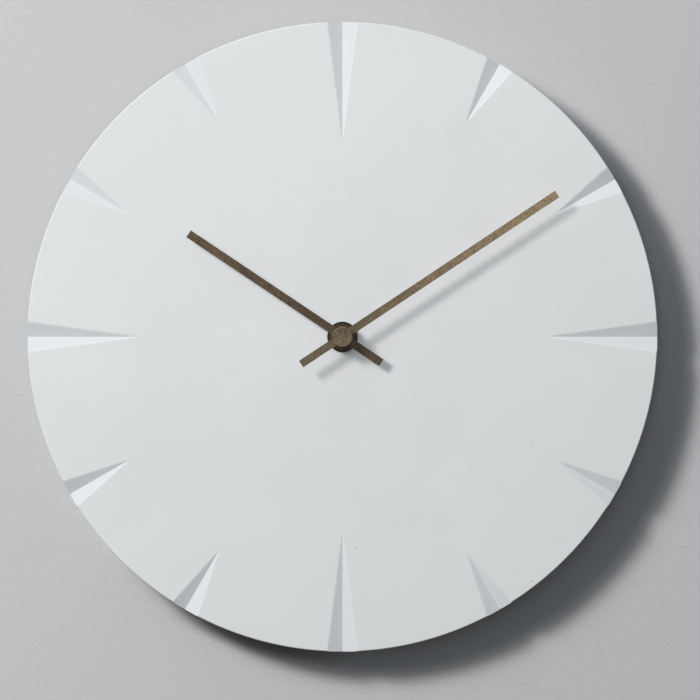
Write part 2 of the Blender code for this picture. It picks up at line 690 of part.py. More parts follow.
def build_anchors(materials, clock):
    """Two ringed plastic plugs, open at the screw's end."""
    outer = ANCHOR_DIAMETER / 2
    bore = HANGER_SCREW_DIAMETER / 2 + SEAT_GAP
    back = anchor_back()
    ring_pitch = ANCHOR_LENGTH / (ANCHOR_RING_COUNT + 1)
    floor = HANGER_INSET + HANGER_SCREW_LENGTH + SEAT_GAP
    profile = [(0.0, floor), (bore, floor), (bore, back), (outer, back)]
    for index in range(1, ANCHOR_RING_COUNT + 1):
        depth = back + index * ring_pitch
        profile += [(outer, depth - ANCHOR_GROOVE_DEPTH), (outer - ANCHOR_GROOVE_DEPTH, depth)]
    tip = back + ANCHOR_LENGTH
    profile += [(outer, tip - ANCHOR_GROOVE_DEPTH), (outer - ANCHOR_GROOVE_DEPTH, tip), (0.0, tip)]
    for side, place in zip(("left", "right"), hanger_screw_places()):
        bm = moved(turned(profile, SMALL_STEPS), place)
        add_piece(f"anchor_{side}", bm, materials["anchor"], clock)


def build_case_front(materials, clock):
    """Moulded housing: a gear chamber above, a battery bay below, posts and the hole for the bushing."""
    outline = rounded_rectangle(CASE_WIDTH, CASE_HEIGHT, CASE_CORNER, CASE_MIDDLE)
    case = add_piece("case_front", prism(outline, CASE_BACK, CASE_FRONT), materials["case"], clock)
    chamber_middle = (0.0, (INNER_TOP - CHAMBER_DROP) / 2)
    chamber = rounded_rectangle(2 * INNER_SIDE, INNER_TOP + CHAMBER_DROP, CHAMBER_CORNER, chamber_middle)
    cut(case, "chamber_cutter", prism(chamber, CASE_BACK - CUT_OVERRUN, CASE_FLOOR_BACK))
    bay = rounded_rectangle(2 * INNER_SIDE, BAY_HEIGHT, CHAMBER_CORNER, (0.0, BATTERY_MIDDLE))
    cut(case, "battery_bay_cutter", prism(bay, CASE_BACK - CUT_OVERRUN, CASE_FLOOR_BACK))
    overlap = CASE_FLOOR_BACK + CASE_FLOOR / 2
    plate_front = LAYERS["train_plate"][1]
    posts = cylinders(POSTS, POST_DIAMETER / 2, plate_front + SEAT_GAP, overlap, SMALL_STEPS)
    join(case, "train_posts", posts)
    board_places = [(share * BOARD_SIDE, BOARD_MIDDLE) for share in BOARD_POST_SHARES]
    board_seat = BOARD_FRONT + SEAT_GAP
    board_posts = cylinders(board_places, BOARD_POST_DIAMETER / 2, board_seat, overlap, SMALL_STEPS)
    join(case, "board_posts", board_posts)
    hole = BUSHING_DIAMETER / 2 + SEAT_GAP
    bushing_hole = cylinders([CENTRE], hole, 0.0, CASE_FRONT + CUT_OVERRUN, LARGE_STEPS)
    cut(case, "bushing_hole_cutter", bushing_hole)
    pivot_hole = cylinders(
        [MOTION_PLACE],
        PIVOT_DIAMETER / 2 + SEAT_GAP,
        LAYERS["hour"][1],
        CASE_FLOOR_BACK + CASE_FLOOR / 2,
        PIVOT_STEPS,
    )
    cut(case, "motion_pivot_cutter", pivot_hole)
    slots = bmesh.new()
    for side in (-1, 1):
        reach = sorted((side * (INNER_SIDE - CONTACT_ROOM), side * INNER_SIDE))
        outline = box_outline(reach[0], reach[1], PARTITION_FOOT - CUT_OVERRUN, CUT_OVERRUN - CHAMBER_DROP)
        add_prism(slots, outline, CASE_BACK - CUT_OVERRUN, BATTERY_DEPTH + CONTACT_WIDTH / 2 + SEAT_GAP)
    cut(case, "contact_slot_cutters", slots)


def build_back_cover(materials, clock):
    """Cover of the gear chamber with a locating rim inside the walls and a well for the set knob."""
    corner_side = CASE_WIDTH / 2 - CASE_CORNER
    corner_top = CASE_RISE - CASE_CORNER
    outline = [(-CASE_WIDTH / 2, PARTITION_FOOT), (CASE_WIDTH / 2, PARTITION_FOOT)]
    outline += arc((corner_side, corner_top), CASE_CORNER, 0.0, math.pi / 2, CORNER_STEPS)
    outline += arc((-corner_side, corner_top), CASE_CORNER, math.pi / 2, math.pi, CORNER_STEPS)
    cover = add_piece("back_cover", prism(outline, COVER_INSET, COVER_FRONT), materials["case"], clock)
    rim_side = INNER_SIDE - SEAT_GAP - CONTACT_ROOM
    rim_low = SEAT_GAP - CHAMBER_DROP
    rim_top = INNER_TOP - SEAT_GAP
    rim_back = COVER_INSET + COVER_PLATE / 2
    rim_front = COVER_FRONT + COVER_RIM_HEIGHT
    rim_middle = (0.0, (rim_low + rim_top) / 2)
    rim = rounded_rectangle(2 * rim_side, rim_top - rim_low, CHAMBER_CORNER, rim_middle)
    join(cover, "cover_rim", prism(rim, rim_back, rim_front))
    inside = rounded_rectangle(
        2 * (rim_side - COVER_RIM_WALL),
        rim_top - rim_low - 2 * COVER_RIM_WALL,
        CHAMBER_CORNER - COVER_RIM_WALL / 2,
        rim_middle,
    )
    cut(cover, "cover_rim_cutter", prism(inside, COVER_FRONT, rim_front + CUT_OVERRUN))
    well_radius = KNOB_DIAMETER / 2 + KNOB_ROOM
    well = cylinders([MOTION_PLACE], well_radius + WELL_WALL, rim_back, WELL_FRONT, LARGE_STEPS)
    join(cover, "knob_well", well)
    hollow = cylinders([MOTION_PLACE], well_radius, COVER_INSET - CUT_OVERRUN, WELL_BACK, LARGE_STEPS)
    cut(cover, "knob_well_cutter", hollow)
    arbor_hole = cylinders(
        [MOTION_PLACE],
        MOTION_ARBOR_DIAMETER / 2 + SEAT_GAP,
        KNOB_FRONT,
        WELL_FRONT + CUT_OVERRUN,
        SMALL_STEPS,
    )
    cut(cover, "motion_arbor_hole_cutter", arbor_hole)


def build_gasket(materials, clock):
    """Rubber pad between the case and the floor of the pocket."""
    side = CASE_WIDTH - 2 * GASKET_MARGIN
    outline = rounded_rectangle(side, CASE_HEIGHT - 2 * GASKET_MARGIN, CASE_CORNER, CASE_MIDDLE)
    gasket = add_piece("case_gasket", prism(outline, GASKET_BACK, GASKET_FRONT), materials["rubber"], clock)
    hole = cylinders(
        [CENTRE],
        BUSHING_DIAMETER / 2 + SEAT_GAP,
        GASKET_BACK - CUT_OVERRUN,
        GASKET_FRONT + CUT_OVERRUN,
        LARGE_STEPS,
    )
    cut(gasket, "gasket_hole_cutter", hole)


def build_fixing(materials, clock):
    """Bushing through the dial, and the washer and nut that clamp the movement to it."""
    bore = HOUR_PIPE_DIAMETER / 2 + SEAT_GAP
    outer = BUSHING_DIAMETER / 2
    flange = BUSHING_FLANGE_DIAMETER / 2
    flange_back, flange_front = LAYERS["flange"]
    profile = [(bore, flange_back), (flange, flange_back), (flange, flange_front), (outer, flange_front)]
    profile += [(outer, BUSHING_FRONT), (bore, BUSHING_FRONT)]
    add_piece("threaded_bushing", turned(profile, MEDIUM_STEPS, closed=True), materials["brass"], clock)
    hole = outer + SEAT_GAP
    washer = ring(hole, WASHER_DIAMETER / 2, WASHER_BACK, WASHER_FRONT, LARGE_STEPS)
    add_piece("dial_washer", washer, materials["black"], clock)
    corner = NUT_WIDTH / math.sqrt(3)
    nut = add_piece("fixing_nut", prism(circle(corner, NUT_SIDES), NUT_BACK, NUT_FRONT), materials["black"], clock)
    low, high = NUT_BACK - CUT_OVERRUN, NUT_FRONT + CUT_OVERRUN
    cut(nut, "nut_bore_cutter", cylinders([CENTRE], hole, low, high, MEDIUM_STEPS))
    reach = corner + CUT_OVERRUN
    chamfer = [(corner - NUT_CHAMFER, NUT_FRONT), (reach, NUT_FRONT - reach + corner - NUT_CHAMFER)]
    chamfer += [(reach, high), (corner - NUT_CHAMFER, high)]
    cut(nut, "nut_chamfer_cutter", turned(chamfer, MEDIUM_STEPS, closed=True))


def turns_left(first, second, third):
    """Whether three points of an outline turn to the left."""
    ahead = (second[0] - first[0]) * (third[1] - first[1])
    return ahead > (second[1] - first[1]) * (third[0] - first[0])


def hull(points):
    """The convex outline round a set of points, anticlockwise."""
    halves = []
    for ordered in (sorted(points), sorted(points, reverse=True)):
        chain = []
        for point in ordered:
            while len(chain) > 1 and not turns_left(chain[-2], chain[-1], point):
                chain.pop()
            chain.append(point)
        halves += chain[:-1]
    return halves


def train_plate_outline(margin):
    """The plates of the train: drawn round the three posts, the rotor and the third wheel's arbor."""
    places = POSTS + (ROTOR_PLACE, (STATOR_LEFT, THIRD_PLACE[1]))
    rims = [point for place in places for point in circle(margin, SMALL_STEPS, place)]
    return hull(rims)


def build_train_plates(materials, clock):
    """Front plate with three posts, and the bridge that the posts carry behind the train."""
    pivot = PIVOT_DIAMETER / 2 + SEAT_GAP
    pivot_places = [THIRD_PLACE, INTERMEDIATE_PLACE, ROTOR_PLACE]
    margin = POST_DIAMETER / 2 + SEAT_GAP
    back, front = LAYERS["train_plate"]
    bridge_back, bridge_front = LAYERS["bridge"]
    outline = train_plate_outline(margin)
    plate = add_piece("train_plate", prism(outline, back, front), materials["wheel"], clock)
    overlap = (back + front) / 2
    posts = cylinders(POSTS, POST_DIAMETER / 2, bridge_front + SEAT_GAP, overlap, SMALL_STEPS)
    join(plate, "plate_posts", posts)
    pins = cylinders(POSTS, POST_PIN_DIAMETER / 2, bridge_back, overlap, PIVOT_STEPS)
    join(plate, "plate_pins", pins)
    low, high = back - CUT_OVERRUN, front + CUT_OVERRUN
    cut(plate, "plate_pivot_cutters", cylinders(pivot_places, pivot, low, high, PIVOT_STEPS))
    arbor = cylinders([CENTRE], MINUTE_ARBOR_DIAMETER / 2 + SEAT_GAP, low, high, MEDIUM_STEPS)
    cut(plate, "plate_minute_cutter", arbor)
    motion_hole = MOTION_ARBOR_DIAMETER / 2 + SEAT_GAP
    cut(plate, "plate_motion_cutter", cylinders([MOTION_PLACE], motion_hole, low, high, SMALL_STEPS))

    bridge = add_piece("train_bridge", prism(outline, bridge_back, bridge_front), materials["wheel"], clock)
    low, high = bridge_back - CUT_OVERRUN, bridge_front + CUT_OVERRUN
    pin_holes = cylinders(POSTS, POST_PIN_DIAMETER / 2 + SEAT_GAP, low, high, PIVOT_STEPS)
    cut(bridge, "bridge_pin_cutters", pin_holes)
    cut(bridge, "bridge_pivot_cutters", cylinders(pivot_places + [CENTRE], pivot, low, high, PIVOT_STEPS))
    cut(bridge, "bridge_motion_cutter", cylinders([MOTION_PLACE], motion_hole, low, high, SMALL_STEPS))


def arbor_profile(back, shoulder_back, shoulder_front, front, radius=ARBOR_DIAMETER / 2):
    """An arbor with a thin pivot at each end."""
    pivot = PIVOT_DIAMETER / 2
    return [
        (0.0, back),
        (pivot, back),
        (pivot, shoulder_back),
        (radius, shoulder_back),
        (radius, shoulder_front),
        (pivot, shoulder_front),
        (pivot, front),
        (0.0, front),
    ]


def shoulders():
    """Where the train's arbors meet the bridge and the front plate."""
    return LAYERS["bridge"][1] + SEAT_GAP, LAYERS["train_plate"][0] - SEAT_GAP


def build_train_wheel(name, place, wheel, pinion, materials, clock):
    """A moulded wheel and pinion on one arbor; each is teeth, module, direction of a tooth and layer."""
    axis = add_empty(f"{name}_axis", clock, (*place, 0.0))
    shoulder_back, shoulder_front = shoulders()
    profile = arbor_profile(LAYERS["bridge"][0], shoulder_back, shoulder_front, LAYERS["train_plate"][1])
    piece = add_piece(name, turned(profile, PIVOT_STEPS), materials["wheel"], axis)
    wheel_teeth, wheel_module, wheel_direction, wheel_layer = wheel
    pinion_teeth, pinion_module, pinion_direction, pinion_layer = pinion
    wheel_points = gear_outline(wheel_teeth, wheel_module, wheel_direction, WHEEL_FLANK_STEPS)
    wheel_back, wheel_front = LAYERS[wheel_layer]
    join(piece, f"{name}_teeth", prism(wheel_points, wheel_back, wheel_front))
    pinion_back, pinion_front = LAYERS[pinion_layer]
    middle = (wheel_back + wheel_front) / 2
    pinion_low = min(pinion_back, middle)
    pinion_high = max(pinion_front, middle)
    pinion_points = gear_outline(pinion_teeth, pinion_module, pinion_direction, PINION_FLANK_STEPS)
    join(piece, f"{name}_pinion_teeth", prism(pinion_points, pinion_low, pinion_high))
    return axis


def build_going_train(materials, clock):
    """Seconds wheel on the hands' axis, third wheel and intermediate wheel, all turned by the rotor."""
    third_gap, pinion_tooth = reversed(meshing_directions(CENTRE, THIRD_PLACE, THIRD_WHEEL_TEETH))
    seconds_tooth, intermediate_gap = meshing_directions(
        CENTRE, INTERMEDIATE_PLACE, INTERMEDIATE_PINION_TEETH
    )
    centre_tooth, third_pinion_gap = meshing_directions(CENTRE, THIRD_PLACE, THIRD_PINION_TEETH)
    intermediate_tooth, rotor_gap = meshing_directions(INTERMEDIATE_PLACE, ROTOR_PLACE, ROTOR_PINION_TEETH)
    build_train_wheel(
        "third_wheel",
        THIRD_PLACE,
        (THIRD_WHEEL_TEETH, THIRD_MODULE, third_gap, "third"),
        (THIRD_PINION_TEETH, CENTRE_MODULE, third_pinion_gap, "centre"),
        materials,
        clock,
    )
    build_train_wheel(
        "intermediate_wheel",
        INTERMEDIATE_PLACE,
        (INTERMEDIATE_WHEEL_TEETH, ROTOR_MODULE, intermediate_tooth, "intermediate"),
        (INTERMEDIATE_PINION_TEETH, SECONDS_MODULE, intermediate_gap, "seconds"),
        materials,
        clock,
    )
    build_seconds_wheel(materials, clock, seconds_tooth, pinion_tooth)
    build_centre_wheel(materials, clock, centre_tooth)
    build_rotor(materials, clock, rotor_gap)


def minute_bore_depths():
    """The hollow in the rear of the minute arbor, where the seconds arbor has its front bearing."""
    return LAYERS["centre"][0], LAYERS["motion"][1]


def build_seconds_wheel(materials, clock, wheel_tooth, pinion_tooth):
    """Wheel and pinion on the hands' axis; its arbor ends inside the hollow minute arbor."""
    axis = add_empty("seconds_wheel_axis", clock, (*CENTRE, 0.0))
    shoulder_back = LAYERS["bridge"][1] + SEAT_GAP
    front = minute_bore_depths()[1] - SEAT_GAP
    radius = SECONDS_ARBOR_DIAMETER / 2
    pivot = PIVOT_DIAMETER / 2
    profile = [(0.0, LAYERS["bridge"][0]), (pivot, LAYERS["bridge"][0]), (pivot, shoulder_back)]
    profile += [(radius, shoulder_back), (radius, front), (0.0, front)]
    piece = add_piece("seconds_wheel", turned(profile, PIVOT_STEPS), materials["wheel"], axis)
    back, front = LAYERS["seconds"]
    teeth = gear_outline(SECONDS_WHEEL_TEETH, SECONDS_MODULE, wheel_tooth, WHEEL_FLANK_STEPS)
    join(piece, "seconds_wheel_teeth", prism(teeth, back, front))
    pinion = gear_outline(SECONDS_PINION_TEETH, THIRD_MODULE, pinion_tooth, PINION_FLANK_STEPS)
    join(piece, "seconds_wheel_pinion_teeth", prism(pinion, (back + front) / 2, LAYERS["third"][1]))


def build_centre_wheel(materials, clock, tooth):
    """Wheel that grips the minute arbor with three springy arms, so that the hands can be set."""
    axis = add_empty("centre_wheel_axis", clock, (*CENTRE, 0.0))
    back, front = LAYERS["centre"]
    teeth = gear_outline(CENTRE_WHEEL_TEETH, CENTRE_MODULE, tooth, WHEEL_FLANK_STEPS)
    wheel = add_piece("centre_wheel", prism(teeth, back, front), materials["wheel"], axis)
    grip = MINUTE_THREAD_DIAMETER / 2 + SEAT_GAP
    low, high = back - CUT_OVERRUN, front + CUT_OVERRUN
    cut(wheel, "centre_bore_cutter", cylinders([CENTRE], grip, low, high, SMALL_STEPS))
    inner = grip + CLUTCH_ARM_WIDTH
    outer = inner + CLUTCH_SLOT_WIDTH
    slots = bmesh.new()
    sweep = math.tau / CLUTCH_ARM_COUNT
    land = CLUTCH_ARM_WIDTH / inner
    for arm in range(CLUTCH_ARM_COUNT):
        start = arm * sweep + land
        end = (arm + 1) * sweep
        outline = arc(CENTRE, outer, start, end, SMALL_STEPS // 2)
        outline += arc(CENTRE, inner, end, start, SMALL_STEPS // 2)
        add_prism(slots, outline, low, high)
    cut(wheel, "clutch_slot_cutters", slots)


def build_rotor(materials, clock, tooth):
    """Motor pinion with its shaft, and the ring magnet on it."""
    axis = add_empty("rotor_axis", clock, (*ROTOR_PLACE, 0.0))
    shoulder_back, shoulder_front = shoulders()
    radius = ROTOR_SHAFT_DIAMETER / 2
    pivot = PIVOT_DIAMETER / 2
    back, front = LAYERS["intermediate"]
    profile = [(0.0, LAYERS["bridge"][0]), (pivot, LAYERS["bridge"][0]), (pivot, (back + front) / 2)]
    profile += [(radius, (back + front) / 2), (radius, shoulder_front), (pivot, shoulder_front)]
    profile += [(pivot, LAYERS["train_plate"][1]), (0.0, LAYERS["train_plate"][1])]
    pinion = add_piece("rotor_pinion", turned(profile, PIVOT_STEPS), materials["wheel"], axis)
    teeth = gear_outline(ROTOR_PINION_TEETH, ROTOR_MODULE, tooth, PINION_FLANK_STEPS)
    join(pinion, "rotor_pinion_teeth", prism(teeth, shoulder_back, front))
    magnet = ring(radius + SEAT_GAP, MAGNET_DIAMETER / 2, MAGNET_BACK, MAGNET_FRONT, SMALL_STEPS)
    add_piece("rotor_magnet", magnet, materials["core"], axis)


def build_motion_wheel(materials, clock, wheel_gap, pinion_tooth):
    """Wheel turned by the cannon pinion, with the pinion that turns the hour wheel, and its set knob."""
    axis = add_empty("motion_wheel_axis", clock, (*MOTION_PLACE, 0.0))
    radius = MOTION_ARBOR_DIAMETER / 2
    pivot = PIVOT_DIAMETER / 2
    seat = KNOB_BACK + KNOB_DISH_DEPTH + SEAT_GAP
    pinion_front = LAYERS["hour"][1]
    pivot_front = CASE_FLOOR_BACK + CASE_FLOOR / 2 - SEAT_GAP
    profile = [(0.0, seat), (radius, seat), (radius, pinion_front), (pivot, pinion_front)]
    profile += [(pivot, pivot_front), (0.0, pivot_front)]
    wheel = add_piece("motion_wheel", turned(profile, SMALL_STEPS), materials["wheel"], axis)
    back, front = LAYERS["motion"]
    teeth = gear_outline(MOTION_WHEEL_TEETH, MOTION_MODULE, wheel_gap, WHEEL_FLANK_STEPS)
    join(wheel, "motion_wheel_teeth", prism(teeth, back, front))
    pinion = gear_outline(MOTION_PINION_TEETH, HOUR_MODULE, pinion_tooth, PINION_FLANK_STEPS)
    join(wheel, "motion_wheel_pinion_teeth", prism(pinion, (back + front) / 2, LAYERS["hour"][1]))
    build_set_knob(materials, axis)


def build_set_knob(materials, axis):
    """Ribbed knob pressed on the motion wheel's arbor, dished at the back."""
    outer = KNOB_DIAMETER / 2
    outline = []
    for rib in range(KNOB_RIB_COUNT):
        start = math.tau * rib / KNOB_RIB_COUNT
        half = math.tau / KNOB_RIB_COUNT / 2
        outline += arc(CENTRE, outer, start, start + half, 2)
        outline += arc(CENTRE, outer - KNOB_RIB_DEPTH, start + half, start + 2 * half, 2)[:-1]
    knob = add_piece("set_knob", prism(outline, KNOB_BACK, KNOB_FRONT), materials["wheel"], axis)
    rim = outer - KNOB_RIB_DEPTH - WELL_WALL
    dish = [(0.0, KNOB_BACK - CUT_OVERRUN), (rim, KNOB_BACK - CUT_OVERRUN)]
    dish += [(rim - KNOB_DISH_DEPTH, KNOB_BACK + KNOB_DISH_DEPTH), (0.0, KNOB_BACK + KNOB_DISH_DEPTH)]
    cut(knob, "knob_dish_cutter", turned(dish, MEDIUM_STEPS))
    bore = MOTION_ARBOR_DIAMETER / 2 + SEAT_GAP
    cut(knob, "knob_bore_cutter", cylinders([CENTRE], bore, KNOB_BACK, KNOB_FRONT + CUT_OVERRUN, SMALL_STEPS))


def build_hour_wheel(materials, clock, axis, tooth):
    """Hour wheel with the pipe that carries the hour hand."""
    back, front = LAYERS["hour"]
    outer = HOUR_PIPE_DIAMETER / 2
    bore = outer - HOUR_PIPE_WALL
    teeth = gear_outline(HOUR_WHEEL_TEETH, HOUR_MODULE, tooth, WHEEL_FLANK_STEPS)
    wheel = add_piece("hour_wheel", prism(teeth, back, front), materials["wheel"], axis)
    pipe = cylinders([CENTRE], outer, (back + front) / 2, HOUR_PIPE_FRONT, MEDIUM_STEPS)
    join(wheel, "hour_pipe", pipe)
    hollow = cylinders([CENTRE], bore, back - CUT_OVERRUN, HOUR_PIPE_FRONT + CUT_OVERRUN, MEDIUM_STEPS)
    cut(wheel, "hour_pipe_bore_cutter", hollow)


def build_minute_arbor(materials, clock, axis, tooth):
    """Arbor with the cannon pinion, two flats for the minute hand and a thread for the cap."""
    radius = MINUTE_ARBOR_DIAMETER / 2
    thread = MINUTE_THREAD_DIAMETER / 2
    bore_back, bore_front = minute_bore_depths()
    plate_back = LAYERS["train_plate"][0]
    flats_back = MINUTE_HAND_BACK - SEAT_GAP
    thread_back = CAP_BACK
    tip = CAP_FRONT - CAP_ROOF - SEAT_GAP
    profile = [(0.0, bore_back), (thread, bore_back), (thread, plate_back), (radius, plate_back)]
    profile += [(radius, thread_back), (thread, thread_back), (thread, tip), (0.0, tip)]
    arbor = add_piece("minute_arbor", turned(profile, MEDIUM_STEPS), materials["brass"], axis)
    back, front = LAYERS["motion"]
    teeth = gear_outline(CANNON_TEETH, MOTION_MODULE, tooth, PINION_FLANK_STEPS)
    join(arbor, "cannon_pinion_teeth", prism(teeth, back, front))
    bore = SECONDS_ARBOR_DIAMETER / 2 + SEAT_GAP
    hollow = cylinders([CENTRE], bore, bore_back - CUT_OVERRUN, bore_front, PIVOT_STEPS)
    cut(arbor, "minute_arbor_bore_cutter", hollow)
    flats = bmesh.new()
    turn = Matrix.Rotation(-MINUTE_HAND_READING, 4, "Z")
    for side in (-1, 1):
        reach = sorted((side * MINUTE_FLATS_WIDTH / 2, side * (radius + CUT_OVERRUN)))
        outline = box_outline(reach[0], reach[1], -radius - CUT_OVERRUN, radius + CUT_OVERRUN)
        add_prism(flats, outline, flats_back, thread_back + CUT_OVERRUN)
    bmesh.ops.transform(flats, matrix=turn, verts=flats.verts)
    cut(arbor, "minute_flats_cutters", flats)


def build_motion_work(materials, clock, hour_axis, minute_axis):
    """The gears between the two hands."""
    cannon_tooth, motion_gap = meshing_directions(CENTRE, MOTION_PLACE, MOTION_WHEEL_TEETH)
    hour_tooth, motion_pinion_gap = meshing_directions(CENTRE, MOTION_PLACE, MOTION_PINION_TEETH)
    build_minute_arbor(materials, clock, minute_axis, cannon_tooth)
    build_hour_wheel(materials, clock, hour_axis, hour_tooth)
    build_motion_wheel(materials, clock, motion_gap, motion_pinion_gap)


def hand_outline(width, reach, tail, boss_diameter):
    """A strip with square ends and a round boss, pointing up."""
    half = width / 2
    boss = boss_diameter / 2
    side = math.asin(half / boss)
    points = [(half, reach), (-half, reach)]
    points += arc(CENTRE, boss, math.pi / 2 + side, math.pi * 3 / 2 - side, SMALL_STEPS)
    points += [(-half, -tail), (half, -tail)]
    points += arc(CENTRE, boss, side - math.pi / 2, math.pi / 2 - side, SMALL_STEPS)
    return points


def build_hour_hand(materials, axis):
    """Bronze sheet hand with the brass collet that grips the hour pipe."""
    outline = hand_outline(HOUR_HAND_WIDTH, HOUR_HAND_REACH, HOUR_HAND_TAIL, HOUR_BOSS_DIAMETER)
    bm = prism(outline, HOUR_HAND_BACK, HOUR_HAND_FRONT)
    bmesh.ops.transform(bm, matrix=Matrix.Rotation(-HOUR_HAND_READING, 4, "Z"), verts=bm.verts)
    hand = add_piece("hour_hand", bm, materials["bronze"], axis)
    neck = HOUR_COLLET_DIAMETER / 2
    hole = cylinders(
        [CENTRE],
        neck + SEAT_GAP,
        HOUR_HAND_BACK - CUT_OVERRUN,
        HOUR_HAND_FRONT + CUT_OVERRUN,
        MEDIUM_STEPS,
    )
    cut(hand, "hour_hand_hole_cutter", hole)
    bore = HOUR_PIPE_DIAMETER / 2 + SEAT_GAP
    head = HOUR_COLLET_HEAD_DIAMETER / 2
    head_back = HOUR_HAND_FRONT + SEAT_GAP
    profile = [(bore, HOUR_HAND_BACK), (neck, HOUR_HAND_BACK), (neck, head_back), (head, head_back)]
    profile += [(head, HOUR_COLLET_FRONT), (bore, HOUR_COLLET_FRONT)]
    add_piece("hour_collet", turned(profile, MEDIUM_STEPS, closed=True), materials["brass"], axis)


def build_minute_hand(materials, axis):
    """Bronze sheet hand with an oblong hole that fits the arbor's flats."""
    outline = hand_outline(MINUTE_HAND_WIDTH, MINUTE_HAND_REACH, MINUTE_HAND_TAIL, MINUTE_BOSS_DIAMETER)
    turn = Matrix.Rotation(-MINUTE_HAND_READING, 4, "Z")
    bm = prism(outline, MINUTE_HAND_BACK, MINUTE_HAND_FRONT)
    bmesh.ops.transform(bm, matrix=turn, verts=bm.verts)
    hand = add_piece("minute_hand", bm, materials["bronze"], axis)
    radius = MINUTE_ARBOR_DIAMETER / 2 + SEAT_GAP
    flat = math.acos((MINUTE_FLATS_WIDTH / 2 + SEAT_GAP) / radius)
    oblong = arc(CENTRE, radius, flat, math.pi - flat, PIVOT_STEPS)
    oblong += arc(CENTRE, radius, math.pi + flat, math.tau - flat, PIVOT_STEPS)
    hole = prism(oblong, MINUTE_HAND_BACK - CUT_OVERRUN, MINUTE_HAND_FRONT + CUT_OVERRUN)
    bmesh.ops.transform(hole, matrix=turn, verts=hole.verts)
    cut(hand, "minute_hand_hole_cutter", hole)


def build_hand_cap(materials, axis):
    """Closed round nut that holds the minute hand."""
    outer = CAP_DIAMETER / 2
    bore = MINUTE_THREAD_DIAMETER / 2 + SEAT_GAP
    rounding_centre = (outer - CAP_EDGE_ROUND, CAP_FRONT - CAP_EDGE_ROUND)
    profile = [(0.0, CAP_FRONT - CAP_ROOF), (bore, CAP_FRONT - CAP_ROOF), (bore, CAP_BACK), (outer, CAP_BACK)]
    profile += arc(rounding_centre, CAP_EDGE_ROUND, 0.0, math.pi / 2, CORNER_STEPS)
    profile.append((0.0, CAP_FRONT))
    add_piece("hand_cap", turned(profile, LARGE_STEPS), materials["bronze"], axis)


def build_hands(materials, clock):
    """Both hands on the axes of the wheels that turn them."""
    hour_axis = add_empty("hour_axis", clock, (*CENTRE, 0.0))
    minute_axis = add_empty("minute_axis", clock, (*CENTRE, 0.0))
    build_motion_work(materials, clock, hour_axis, minute_axis)
    build_hour_hand(materials, hour_axis)
    build_minute_hand(materials, minute_axis)
    build_hand_cap(materials, minute_axis)


def stator_outline():
    """Motor plate: a ring round the rotor, a yoke to the right and a leg up each side to the coil's core."""
    middle_x, middle_y = ROTOR_PLACE
    half_yoke = STATOR_LEG_WIDTH / 2
    radius = STATOR_RING_RADIUS
    left_inner = STATOR_LEFT + STATOR_LEG_WIDTH
    leg_meets = math.acos((left_inner - middle_x) / radius)
    yoke_meets = math.asin(half_yoke / radius)
    left_meets = math.acos((STATOR_LEFT - middle_x) / radius)
    right_inner = STATOR_RIGHT - STATOR_LEG_WIDTH
    points = [(STATOR_LEFT, STATOR_TOP), (left_inner, STATOR_TOP)]
    points += arc(ROTOR_PLACE, radius, leg_meets, yoke_meets, CORNER_STEPS)
    points += [(right_inner, middle_y + half_yoke), (right_inner, STATOR_TOP), (STATOR_RIGHT, STATOR_TOP)]
    points.append((STATOR_RIGHT, middle_y - half_yoke))
    points += arc(ROTOR_PLACE, radius, -yoke_meets, left_meets - math.tau, SMALL_STEPS)
    return points


def build_motor(materials, clock):
    """Stator plate, the core that closes it, and the coil on its bobbin."""
    stator = add_piece("stator", prism(stator_outline(), STATOR_BACK, STATOR_FRONT), materials["core"], clock)
    hole = MAGNET_DIAMETER / 2 + STATOR_AIR_GAP
    low, high = STATOR_BACK - CUT_OVERRUN, STATOR_FRONT + CUT_OVERRUN
    cut(stator, "rotor_hole_cutter", cylinders([ROTOR_PLACE], hole, low, high, MEDIUM_STEPS))
    core = box_outline(STATOR_LEFT, STATOR_RIGHT, STATOR_TOP - STATOR_LEG_WIDTH, STATOR_TOP)
    add_piece("coil_core", prism(core, CORE_BACK, CORE_FRONT), materials["core"], clock)
    build_coil(materials, clock)


def build_coil(materials, clock):
    """Flanged bobbin round the core, and its winding in a few layers."""
    lying = Matrix.Rotation(math.pi / 2, 4, "Y")
    middle_x = (COIL_LEFT + COIL_RIGHT) / 2
    place = Matrix.Translation((middle_x, CORE_MIDDLE, COIL_DEPTH)) @ lying
    half = COIL_LENGTH / 2
    core_reach = math.hypot(STATOR_LEG_WIDTH / 2, STATOR_SHEET / 2) + SEAT_GAP
    tube = core_reach + BOBBIN_WALL
    flange = COIL_DIAMETER / 2 + BOBBIN_LIP
    cheek = half - BOBBIN_FLANGE
    profile = [(core_reach, -half), (flange, -half), (flange, -cheek), (tube, -cheek)]
    profile += [(tube, cheek), (flange, cheek), (flange, half), (core_reach, half)]
    bobbin = turned(profile, SMALL_STEPS, closed=True)
    bmesh.ops.transform(bobbin, matrix=place, verts=bobbin.verts)
    add_piece("coil_bobbin", bobbin, materials["wheel"], clock)
    inside = tube + SEAT_GAP
    reach = cheek - SEAT_GAP
    layer = (COIL_DIAMETER / 2 - inside) / COIL_LAYER_COUNT
    winding = [(inside, -reach), (COIL_DIAMETER / 2 - layer, -reach), (COIL_DIAMETER / 2, layer - reach)]
    winding += [(COIL_DIAMETER / 2, reach - layer), (COIL_DIAMETER / 2 - layer, reach), (inside, reach)]
    wire = turned(winding, SMALL_STEPS, closed=True)
    bmesh.ops.transform(wire, matrix=place, verts=wire.verts)
    add_piece("coil_winding", wire, materials["copper"], clock)


